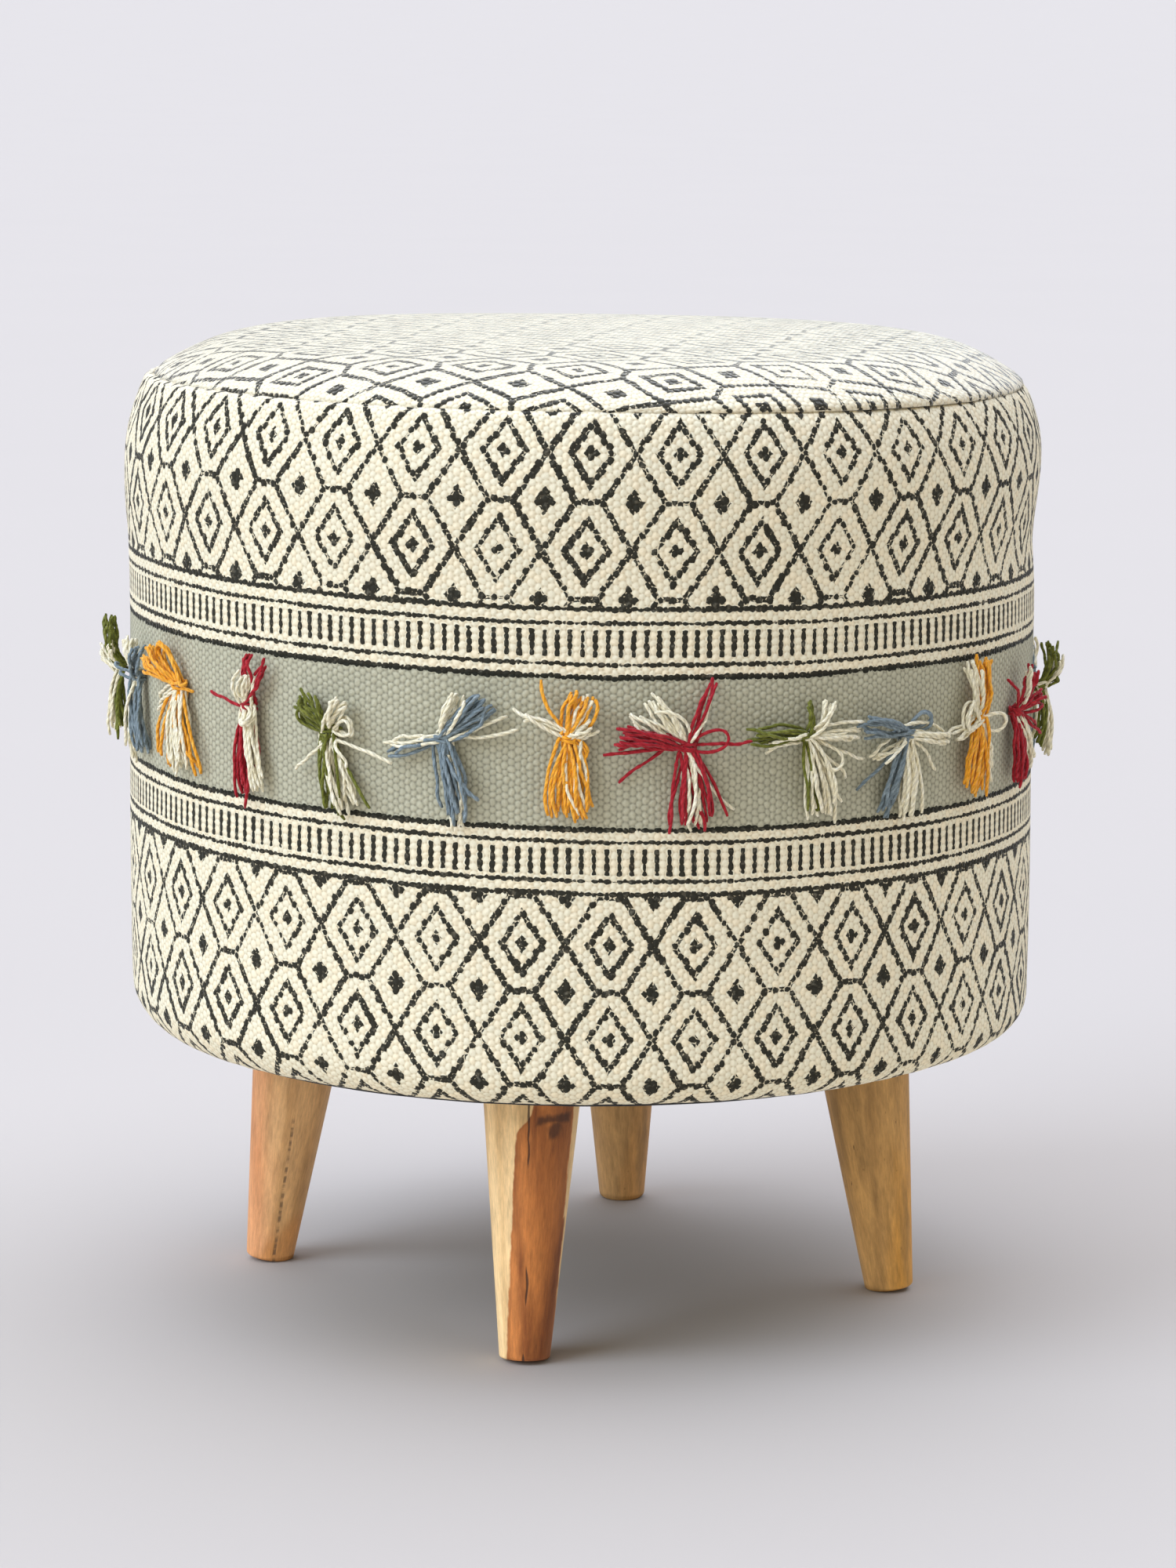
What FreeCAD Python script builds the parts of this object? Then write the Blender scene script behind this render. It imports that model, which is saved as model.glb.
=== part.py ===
"""Round kilim ottoman: a padded drum in a printed canvas cover on four splayed, screw-in wooden legs.

Millimetres, +Z up. The origin is on the floor, on the drum's axis. The legs stand on the X and Y axes,
with the front leg towards -Y. Each piece is written to its own file.
"""
import FreeCAD, Part
import math
import os
from collections import namedtuple

Vector = FreeCAD.Vector
RZ = namedtuple("RZ", "r z")

# Cover, as its outer face
body_radius = 199.0
body_bottom = 121.0
seat_height = 427.0
bottom_round = 16.0
neck_drop = 89.0
seat_swell = 1.6
seat_wide_drop = 55.0
seam_inset = 5.5
seam_drop = 20.0
seam_lean = 38.0
crown_edge_inset = 49.0
crown_edge_drop = 4.4
cover_thickness = 1.6
seam_gap = 0.2

# Padding
soft_gap = 0.3
seat_foam_depth = 80.0
seat_foam_tuck = 4.7
padding_thickness = 10.0

# Frame of the drum
wall_thickness = 3.0
wall_lift = 1.0
board_thickness = 12.0
board_fit = 0.2
post_count = 4
post_width = 36.0
post_depth = 20.0
post_screw_spacing = 18.0
post_screw_length = 45.0
nail_count = 12
nail_diameter = 1.6
nail_length = 15.0

# Underside
staple_wire = 0.6
staple_crown = 10.0
staple_leg = 6.0
staple_count = 24
staple_inset = 6.0
dust_cover_thickness = 0.6
dust_cover_margin = 3.0
dust_cover_step = 3.0
hem_clearance = 0.5

# Legs
leg_inset = 57.0
leg_splay = 7.3
leg_top_diameter = 42.0
leg_foot_diameter = 21.4
foot_round = 1.5
foot_sanding = 0.5
leg_azimuths = {"right": 0.0, "back": 90.0, "left": 180.0, "front": 270.0}

# Leg hardware
plate_width = 60.0
plate_thickness = 2.5
plate_corner = 6.0
plate_hole_spacing = 44.0
plate_screw_length = 13.0
boss_diameter = 26.0
boss_height = 3.0
bolt_diameter = 8.0
bolt_in_leg = 32.0
bolt_above_leg = 24.0
bolt_chamfer = 1.0
bolt_room = 3.0
washer_diameter = 24.0
washer_thickness = 1.5
screw_shank = 4.0
screw_head = 8.0
screw_tip = 4.0
thread_clearance = 0.05
hole_clearance = 0.02

# Tassels tied through the grey band
tassel_count = 26
tassel_drop = 147.0
tassel_tuft_height = 14.0
tassel_tuft_radius = 9.5
tassel_tail_length = 40.0
tassel_knot_radius = 5.0
tassel_knot_height = 6.0
tassel_tail_radius = 9.0
tassel_stand_off = 4.5

# Heights and radii that follow from the sizes above
neck_height = seat_height - neck_drop
seat_wide_height = seat_height - seat_wide_drop
seat_radius = body_radius + seat_swell
seam_height = seat_height - seam_drop
seam_radius = body_radius - seam_inset
crown_edge_radius = body_radius - crown_edge_inset
leg_circle = body_radius - leg_inset
tassel_knot = seat_height - tassel_drop
tassel_top = tassel_knot + tassel_tuft_height
tassel_bottom = tassel_knot - tassel_tail_length
padding_radius = body_radius - cover_thickness - soft_gap
wall_radius = padding_radius - padding_thickness - soft_gap
wall_inner_radius = wall_radius - wall_thickness
board_radius = wall_inner_radius - board_fit
board_bottom = body_bottom + cover_thickness + soft_gap
board_top = board_bottom + board_thickness
foam_base = seat_height - cover_thickness - soft_gap - seat_foam_depth
frame_top = foam_base - soft_gap
top_board_bottom = frame_top - board_thickness
post_face = math.sqrt(board_radius ** 2 - (post_width / 2) ** 2)
post_centre = post_face - post_depth / 2
dust_cover_top = board_bottom - soft_gap
plate_top = dust_cover_top - dust_cover_thickness - soft_gap
plate_bottom = plate_top - plate_thickness
splay = math.radians(leg_splay)
plate_centre = leg_circle - plate_bottom * math.tan(splay)
plate_reach = math.hypot(plate_centre + plate_width / 2, plate_width / 2)
dust_cover_flange_radius = plate_reach + dust_cover_step
hem_inner_radius = dust_cover_flange_radius + hem_clearance
hem_staple_radius = hem_inner_radius + staple_inset
dust_cover_radius = body_radius - bottom_round - dust_cover_margin
dust_staple_radius = dust_cover_radius - staple_inset
flange_top = body_bottom - staple_wire - soft_gap
flange_bottom = flange_top - dust_cover_thickness

# Distances along a leg's axis, from where it meets the floor
seat_along = (plate_bottom - boss_height) / math.cos(splay)
leg_top_along = seat_along - washer_thickness
foot_radius = leg_foot_diameter / 2
foot_drop = (foot_radius - foot_round) * math.sin(splay) + foot_round * (1 - math.cos(splay))
leg_foot_along = (foot_drop - foot_sanding) / math.cos(splay)


def save(name, shape):
    """Writes one piece, after a look at its solids."""
    solids = shape.Solids
    sound = all(s.isValid() and s.Volume > 0 for s in solids)
    print(f"{name}: {len(solids)} solid(s), {shape.Volume / 1000:.2f} cm3, sound {sound}")
    shape.exportStep(f"parts/{name}.step")


def on_section(p):
    """A point of the section through +X."""
    return Vector(p.r, 0, p.z)


def line(a, b):
    return Part.LineSegment(on_section(a), on_section(b)).toShape()


def arc(a, b, centre):
    """The short arc from a to b about centre."""
    radius = math.hypot(a.r - centre.r, a.z - centre.z)
    across_r = (a.r + b.r) / 2 - centre.r
    across_z = (a.z + b.z) / 2 - centre.z
    reach = radius / math.hypot(across_r, across_z)
    middle = RZ(centre.r + across_r * reach, centre.z + across_z * reach)
    return Part.Arc(on_section(a), on_section(middle), on_section(b)).toShape()


def turned(edges):
    """The solid that a closed section makes when it turns once about the Z axis."""
    face = Part.Face(Part.Wire(edges))
    return face.revolve(Vector(0, 0, 0), Vector(0, 0, 1), 360)


def outline(points):
    """Straight edges through the points and back to the first."""
    return [line(a, b) for a, b in zip(points, points[1:] + points[:1])]


def copies_around(shape, azimuths):
    """Copies of a shape made at azimuth 0, turned to each azimuth."""
    copies = []
    for azimuth in azimuths:
        copy = shape.copy()
        copy.rotate(Vector(0, 0, 0), Vector(0, 0, 1), azimuth)
        copies.append(copy)
    return copies


def even_azimuths(count):
    """Evenly spaced azimuths, half a step off the X axis."""
    return [(i + 0.5) * 360 / count for i in range(count)]


def box(low, high):
    size = high - low
    return Part.makeBox(size.x, size.y, size.z, low)


# Padded body

Skin = namedtuple("Skin", "under foot neck wide seam crown_edge top")


def skin(inset):
    """The corner points of the cover's section, moved inwards by inset."""
    lean = math.radians(seam_lean)
    return Skin(
        under=RZ(body_radius - bottom_round, body_bottom + inset),
        foot=RZ(body_radius - inset, body_bottom + bottom_round),
        neck=RZ(body_radius - inset, neck_height),
        wide=RZ(seat_radius - inset, seat_wide_height),
        seam=RZ(seam_radius - inset * math.cos(lean), seam_height - inset * math.sin(lean)),
        crown_edge=RZ(crown_edge_radius, seat_height - crown_edge_drop - inset),
        top=RZ(0, seat_height - inset),
    )


def swell_centre(wide, other):
    """The centre of the arc that stands upright at wide and runs through other."""
    out, up = wide.r - other.r, wide.z - other.z
    return RZ(wide.r - (out ** 2 + up ** 2) / (2 * out), wide.z)


def crown_centre(s):
    """The centre of the crown's arc, which lies level at the axis."""
    drop = s.top.z - s.crown_edge.z
    return RZ(0, s.top.z - (s.crown_edge.r ** 2 + drop ** 2) / (2 * drop))


def crown_edge_centre(s, seam):
    """The centre of the arc that leaves the crown smoothly and ends at the seam."""
    centre = crown_centre(s)
    radius = s.top.z - centre.z
    normal = RZ((s.crown_edge.r - centre.r) / radius, (s.crown_edge.z - centre.z) / radius)
    out, up = seam.r - s.crown_edge.r, seam.z - s.crown_edge.z
    reach = -(out ** 2 + up ** 2) / (2 * (out * normal.r + up * normal.z))
    return RZ(s.crown_edge.r - reach * normal.r, s.crown_edge.z - reach * normal.z)


def bottom_roll(s):
    """The rolled lower edge, from the underside to the wall."""
    centre = RZ(body_radius - bottom_round, body_bottom + bottom_round)
    return arc(s.under, s.foot, centre)


def crown_edges(s, seam):
    """The top of the section, from the seam to the axis."""
    edge = arc(seam, s.crown_edge, crown_edge_centre(s, seam))
    return [edge, arc(s.crown_edge, s.top, crown_centre(s))]


def side_edges(s):
    """The side of the section, from the hem's inner edge to the seam."""
    hem = RZ(hem_inner_radius, s.under.z)
    return [
        line(hem, s.under),
        bottom_roll(s),
        line(s.foot, s.neck),
        arc(s.neck, s.wide, swell_centre(s.wide, s.neck)),
        arc(s.wide, s.seam, swell_centre(s.wide, s.seam)),
    ]


def cover_side():
    """The side panel: rolled under at the bottom, drawn in at the neck, full round the seat."""
    outer, inner = skin(0), skin(cover_thickness)
    hem_end = line(RZ(hem_inner_radius, inner.under.z), RZ(hem_inner_radius, outer.under.z))
    seam_end = line(outer.seam, inner.seam)
    return turned(side_edges(outer) + [seam_end] + side_edges(inner)[::-1] + [hem_end])


def cover_top():
    """The round panel over the crown."""
    outer, inner = skin(0), skin(cover_thickness)
    lean = math.radians(90 - seam_lean)
    step = RZ(-seam_gap * math.cos(lean), seam_gap * math.sin(lean))
    outer_seam = RZ(outer.seam.r + step.r, outer.seam.z + step.z)
    inner_seam = RZ(inner.seam.r + step.r, inner.seam.z + step.z)
    edges = crown_edges(outer, outer_seam) + [line(outer.top, inner.top)]
    return turned(edges + crown_edges(inner, inner_seam)[::-1] + [line(inner_seam, outer_seam)])


def seat_foam():
    """The seat pad: crowned on top, with sides that draw in towards its base."""
    s = skin(cover_thickness + soft_gap)
    base = RZ(s.wide.r - seat_foam_tuck, foam_base)
    sides = [
        arc(base, s.wide, swell_centre(s.wide, base)),
        arc(s.wide, s.seam, swell_centre(s.wide, s.seam)),
    ]
    middle = RZ(0, foam_base)
    return turned(sides + crown_edges(s, s.seam) + [line(s.top, middle), line(middle, base)])


def side_padding():
    """The foam sheet round the drum, rounded at its lower edge."""
    inner = wall_radius + soft_gap
    radius = bottom_round - cover_thickness - soft_gap
    centre = RZ(padding_radius - radius, body_bottom + bottom_round)
    low = RZ(inner, centre.z - math.sqrt(radius ** 2 - (inner - centre.r) ** 2))
    foot = RZ(padding_radius, centre.z)
    rim = RZ(padding_radius, frame_top)
    inner_rim = RZ(inner, frame_top)
    return turned([arc(low, foot, centre), line(foot, rim), line(rim, inner_rim), line(inner_rim, low)])


# Fasteners

def wood_screw(length, clearance=0.0):
    """A countersunk screw along +Z, with its head's flat face at the origin."""
    head = screw_head / 2 + clearance
    shank = screw_shank / 2 + clearance
    head_depth = (screw_head - screw_shank) / 2
    return turned(outline([
        RZ(0, 0), RZ(head, 0), RZ(shank, head_depth),
        RZ(shank, length - screw_tip), RZ(0, length + clearance),
    ]))


def post_screws(clearance=0.0):
    """Two screws through each disc into each end of every post."""
    screw = wood_screw(post_screw_length, clearance)
    pair = []
    for side in (-0.5, 0.5):
        lower = screw.copy()
        lower.translate(Vector(post_centre, side * post_screw_spacing, board_bottom))
        upper = screw.copy()
        upper.rotate(Vector(0, 0, 0), Vector(1, 0, 0), 180)
        upper.translate(Vector(post_centre, side * post_screw_spacing, frame_top))
        pair += [lower, upper]
    return Part.makeCompound(copies_around(Part.makeCompound(pair), even_azimuths(post_count)))


def wall_nails(clearance=0.0):
    """Nails through the hardboard into the edge of each disc."""
    heights = (board_bottom + board_thickness / 2, frame_top - board_thickness / 2)
    radius = nail_diameter / 2 + clearance
    pair = [
        Part.makeCylinder(radius, nail_length, Vector(wall_radius, 0, z), Vector(-1, 0, 0)) for z in heights
    ]
    return Part.makeCompound(copies_around(Part.makeCompound(pair), even_azimuths(nail_count)))


def staples(radius, under, clearance=0.0):
    """A ring of staples whose crowns lie under the face at height under."""
    half = staple_crown / 2
    wire = staple_wire / 2
    grow = Vector(clearance, clearance, clearance)
    crown_low = Vector(radius - wire, -half, under - staple_wire)
    crown_high = Vector(radius + wire, half, under)
    staple = box(crown_low - grow, crown_high + grow)
    for side in (-1, 1):
        leg = Vector(radius, side * (half - wire), under - staple_wire)
        low = leg - Vector(wire, wire, 0) - grow
        high = leg + Vector(wire, wire, staple_leg + staple_wire) + grow
        staple = staple.fuse(box(low, high))
    return Part.makeCompound(copies_around(staple.removeSplitter(), even_azimuths(staple_count)))


# Legs and their hardware, made at azimuth 0

def along_leg(distance):
    """The point of the leg's axis at a distance from the floor."""
    return Vector(leg_circle - distance * math.sin(splay), 0, distance * math.cos(splay))


leg_up = Vector(-math.sin(splay), 0, math.cos(splay))


def rod(radius, start, end):
    """A cylinder along the leg's axis."""
    return Part.makeCylinder(radius, end - start, along_leg(start), leg_up)


def leg():
    """The tapered leg: its ends square to its axis, its foot rounded and sanded level on the inside."""
    length = leg_top_along - leg_foot_along
    top = leg_top_diameter / 2
    body = Part.makeCone(foot_radius, top, length, along_leg(leg_foot_along), leg_up)
    rims = [e for e in body.Edges if e.Closed]
    foot_rim = min(rims, key=lambda e: e.Length)
    body = body.makeFillet(foot_round, [foot_rim])
    pilot_end = leg_top_along - bolt_in_leg - hole_clearance
    pilot = rod(bolt_diameter / 2 + hole_clearance, pilot_end, leg_top_along)
    reach = leg_top_diameter
    floor = box(Vector(leg_circle - reach, -reach, -reach), Vector(leg_circle + reach, reach, 0))
    return body.cut(pilot).cut(floor)


def hanger_bolt():
    """The bolt that is driven into the leg and screws into the plate."""
    start, end = leg_top_along - bolt_in_leg, leg_top_along + bolt_above_leg
    shank = rod(bolt_diameter / 2, start, end)
    tips = [e for e in shank.Edges if e.Closed]
    return shank.makeChamfer(bolt_chamfer, tips)


def leg_washer():
    """The washer between the leg and the plate's boss."""
    ring = rod(washer_diameter / 2, leg_top_along, seat_along)
    return ring.cut(rod(bolt_diameter / 2 + thread_clearance, leg_top_along, seat_along))


def plate_screws(clearance=0.0):
    """The four screws of one leg plate."""
    half = plate_hole_spacing / 2
    screw = wood_screw(plate_screw_length, clearance)
    screws = []
    for x in (-half, half):
        for y in (-half, half):
            one = screw.copy()
            one.translate(Vector(plate_centre + x, y, plate_bottom))
            screws.append(one)
    return Part.makeCompound(screws)


def leg_plate():
    """The steel plate, flat under the drum, with a boss that faces the leg at its splay."""
    half = plate_width / 2
    low = Vector(plate_centre - half, -half, plate_bottom)
    high = Vector(plate_centre + half, half, plate_top)
    flat = box(low, high)
    upright = [e for e in flat.Edges if abs(e.tangentAt(e.FirstParameter).z) > 0.5]
    flat = flat.makeFillet(plate_corner, upright)
    plate_mid = (plate_bottom + plate_top) / 2
    boss = rod(boss_diameter / 2, seat_along, plate_top / math.cos(splay) + boss_height)
    below = box(Vector(low.x, low.y, 0), Vector(high.x, high.y, plate_mid))
    bore = rod(bolt_diameter / 2 + thread_clearance, seat_along - boss_height, seat_along + plate_width / 2)
    return flat.fuse(boss.common(below)).removeSplitter().cut(bore).cut(plate_screws(hole_clearance))


def bolt_way():
    """The way that the bolt's end takes through the underside."""
    return rod(bolt_diameter / 2 + bolt_room, seat_along, board_top / math.cos(splay) + board_thickness)


# Frame of the drum

def disc(bottom):
    return Part.makeCylinder(board_radius, board_thickness, Vector(0, 0, bottom))


def post():
    """One batten, cut square, at azimuth 0."""
    half = post_width / 2
    return box(Vector(post_face - post_depth, -half, board_top), Vector(post_face, half, top_board_bottom))


def side_wall():
    """The hardboard drum."""
    low = board_bottom + wall_lift
    tube = outline([
        RZ(wall_inner_radius, low), RZ(wall_radius, low),
        RZ(wall_radius, frame_top), RZ(wall_inner_radius, frame_top),
    ])
    return turned(tube)


def dust_cover():
    """The cloth under the drum: against the disc in the middle, stepped down over the hem."""
    top, thick = dust_cover_top, dust_cover_thickness
    flange = dust_cover_flange_radius
    return turned(outline([
        RZ(0, top - thick), RZ(plate_reach, top - thick), RZ(flange, flange_bottom),
        RZ(dust_cover_radius, flange_bottom), RZ(dust_cover_radius, flange_top),
        RZ(flange, flange_top), RZ(plate_reach, top), RZ(0, top),
    ]))


# Tassels

def tassel():
    """One yarn tassel at azimuth 0: a tuft over a knot over a hanging tail, flat against the cover."""
    half_knot = tassel_knot_height / 2
    shape = turned(outline([
        RZ(0, tassel_bottom), RZ(tassel_tail_radius, tassel_bottom),
        RZ(tassel_knot_radius, tassel_knot - half_knot), RZ(tassel_knot_radius, tassel_knot + half_knot),
        RZ(tassel_tuft_radius, tassel_top), RZ(0, tassel_top),
    ]))
    shape.translate(Vector(body_radius + tassel_stand_off, 0, 0))
    drum = Part.makeCylinder(body_radius + soft_gap, seat_height)
    return shape.cut(drum)


def build_body():
    """The padded drum and everything that holds it together."""
    leg_turns = list(leg_azimuths.values())
    bolt_ways = Part.makeCompound(copies_around(bolt_way(), leg_turns))
    plate_holes = Part.makeCompound(copies_around(plate_screws(hole_clearance), leg_turns))
    screw_holes = post_screws(hole_clearance)
    nail_holes = wall_nails(hole_clearance)
    hem_slots = staples(hem_staple_radius, body_bottom, hole_clearance)
    dust_slots = staples(dust_staple_radius, flange_bottom, hole_clearance)

    underside = disc(board_bottom).cut(bolt_ways).cut(plate_holes).cut(screw_holes).cut(nail_holes)
    save("bottom_board", underside.cut(hem_slots).cut(dust_slots))
    save("top_board", disc(top_board_bottom).cut(screw_holes).cut(nail_holes))
    for number, batten in enumerate(copies_around(post(), even_azimuths(post_count)), 1):
        save(f"post_{number}", batten.cut(screw_holes))
    save("side_wall", side_wall().cut(nail_holes))
    save("post_screws", post_screws())
    save("wall_nails", wall_nails())
    save("side_padding", side_padding())
    save("seat_foam", seat_foam())
    save("cover_top", cover_top())
    save("cover_side", cover_side().cut(hem_slots).cut(dust_slots))
    save("hem_staples", staples(hem_staple_radius, body_bottom))
    save("dust_cover", dust_cover().cut(bolt_ways).cut(plate_holes).cut(dust_slots))
    save("dust_cover_staples", staples(dust_staple_radius, flange_bottom))
    save("leg_plate_screws", Part.makeCompound(copies_around(plate_screws(), leg_turns)))


def build_legs():
    """Each leg with its bolt, washer and plate."""
    makers = {"leg": leg, "hanger_bolt": hanger_bolt, "leg_washer": leg_washer, "leg_plate": leg_plate}
    for piece, make in makers.items():
        for place, copy in zip(leg_azimuths, copies_around(make(), leg_azimuths.values())):
            save(f"{piece}_{place}", copy)


def build_tassels():
    """The tassels, evenly spaced both ways from the front and numbered round from the back."""
    azimuths = [90 + (i + 0.5) * 360 / tassel_count for i in range(tassel_count)]
    for number, copy in enumerate(copies_around(tassel(), azimuths), 1):
        save(f"tassel_{number:02d}", copy)


os.makedirs("parts", exist_ok=True)
build_body()
build_legs()
build_tassels()
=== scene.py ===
# %% [markdown]
# # A round kilim ottoman
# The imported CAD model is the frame: every piece below sits in its place, in metres, +Z up, with the
# front leg towards -Y. The CAD keeps what is rigid: legs, plates and boards. The cloth, the foam and the
# yarn are made here, because a solid can't show a weave, a seam or a loose strand.

# %% Load the frame
import math

import bpy
import numpy as np
from mathutils import Matrix, Vector


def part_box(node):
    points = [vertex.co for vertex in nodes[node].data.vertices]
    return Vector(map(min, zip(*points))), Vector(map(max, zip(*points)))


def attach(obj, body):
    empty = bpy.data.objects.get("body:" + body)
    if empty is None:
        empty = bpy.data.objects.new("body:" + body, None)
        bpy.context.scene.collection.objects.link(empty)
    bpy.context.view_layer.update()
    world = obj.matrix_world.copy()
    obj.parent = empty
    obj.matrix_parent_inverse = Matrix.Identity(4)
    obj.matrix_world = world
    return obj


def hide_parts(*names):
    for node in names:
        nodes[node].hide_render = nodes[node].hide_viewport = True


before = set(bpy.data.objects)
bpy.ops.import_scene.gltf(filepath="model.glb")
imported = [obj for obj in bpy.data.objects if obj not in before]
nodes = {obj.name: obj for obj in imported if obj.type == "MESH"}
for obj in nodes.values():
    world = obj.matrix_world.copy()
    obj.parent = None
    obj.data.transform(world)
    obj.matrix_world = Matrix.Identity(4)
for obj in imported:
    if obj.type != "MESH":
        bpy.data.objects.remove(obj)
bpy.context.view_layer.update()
MM = 0.001

# %% [markdown]
# ## Camera
# A photo's camera can be found by hand, by nudging it until the edges agree, or by fitting it to shapes
# whose size is known. Here the drum's outline, the feet and the printed rings were fitted. They give the
# height, the tilt, the distance and the roll. The camera stands a little to the right of the front leg.

# %% Camera
image_height_px = 2000
focal_px = 5994.9
camera_distance = 2.0647
camera_height = 0.5658
camera_azimuth = math.radians(8.76)
camera_pitch = math.radians(9.40)
camera_yaw = math.radians(0.09)
camera_roll = math.radians(0.53)


def added(name, data):
    """A new object in the scene that shows the data."""
    thing = bpy.data.objects.new(name, data)
    bpy.context.scene.collection.objects.link(thing)
    return thing


def add_camera():
    """Stands at the azimuth from -Y, looks back along it and down by the pitch, then yaws and rolls."""
    heading = Matrix.Rotation(camera_azimuth - camera_yaw, 3, "Z")
    forward = heading @ Vector((0, math.cos(camera_pitch), -math.sin(camera_pitch)))
    level_right = heading @ Vector((1, 0, 0))
    level_up = level_right.cross(forward)
    right = math.cos(camera_roll) * level_right + math.sin(camera_roll) * level_up
    up = right.cross(forward)
    data = bpy.data.cameras.new("camera")
    data.sensor_width = 36
    data.lens = focal_px * data.sensor_width / image_height_px
    camera = added("camera", data)
    place = Matrix.Rotation(camera_azimuth, 3, "Z") @ Vector((0, -camera_distance, 0))
    turn = Matrix((right, up, -forward)).transposed()
    camera.matrix_world = Matrix.Translation((place.x, place.y, camera_height)) @ turn.to_4x4()
    bpy.context.scene.camera = camera
    return camera


print("camera at", [round(x, 3) for x in add_camera().location])

# %% [markdown]
# ## Formulas that become nodes
# A print is a formula over the cloth: how far is this point from a printed line? Such formulas are easier
# to read as ordinary arithmetic than as a list of node links, so `Field` turns each sum or product into a
# Math node.

# %% Fields
def plug(tree, value, socket):
    """Links a field or a node's output to a socket, or sets the socket to a plain number or colour."""
    if isinstance(value, Field):
        tree.links.new(value.socket, socket)
    elif isinstance(value, bpy.types.NodeSocket):
        tree.links.new(value, socket)
    else:
        socket.default_value = value


class Field:
    """A number that varies over a surface. Arithmetic on it adds Math nodes to its material."""

    def __init__(self, tree, socket):
        self.tree = tree
        self.socket = socket

    def math(self, operation, *others):
        node = self.tree.nodes.new("ShaderNodeMath")
        node.operation = operation
        for value, socket in zip((self, *others), node.inputs):
            plug(self.tree, value, socket)
        return Field(self.tree, node.outputs[0])

    def __add__(self, other):
        return self.math("ADD", other)

    def __sub__(self, other):
        return self.math("SUBTRACT", other)

    def __rsub__(self, other):
        return self * -1.0 + other

    def __mul__(self, other):
        return self.math("MULTIPLY", other)

    def __truediv__(self, other):
        return self.math("DIVIDE", other)

    def __abs__(self):
        return self.math("ABSOLUTE")

    __radd__ = __add__
    __rmul__ = __mul__

    def rounded(self):
        return self.math("ROUND")

    def wrapped(self, period):
        """The distance from the nearest whole period, from minus a half period to plus a half."""
        return self.math("WRAP", period / 2, -period / 2)

    def cosine(self):
        return self.math("COSINE")

    def power(self, exponent):
        return self.math("POWER", exponent)

    def ramp(self, low, high):
        """0 below low, 1 above high and smooth between."""
        node = self.tree.nodes.new("ShaderNodeMapRange")
        node.interpolation_type = "SMOOTHSTEP"
        node.inputs["From Min"].default_value = low
        node.inputs["From Max"].default_value = high
        self.tree.links.new(self.socket, node.inputs["Value"])
        return Field(self.tree, node.outputs["Result"])


def highest(*fields):
    top = fields[0]
    for other in fields[1:]:
        top = top.math("MAXIMUM", other)
    return top


def lowest(*fields):
    low = fields[0]
    for other in fields[1:]:
        low = low.math("MINIMUM", other)
    return low


def far(x, y):
    """The length of the arrow (x, y)."""
    return (x * x + y * y).power(0.5)


print("fields can be added, multiplied, wrapped and ramped")

# %% [markdown]
# A finish is one material. What is the same all over, such as a sheen, is set on the shader's own sockets.
# Patterns feed colour, roughness and bump. They start from the piece's own coordinates or from the flat
# cloth's, so that they stay with the piece when it moves.

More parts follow.
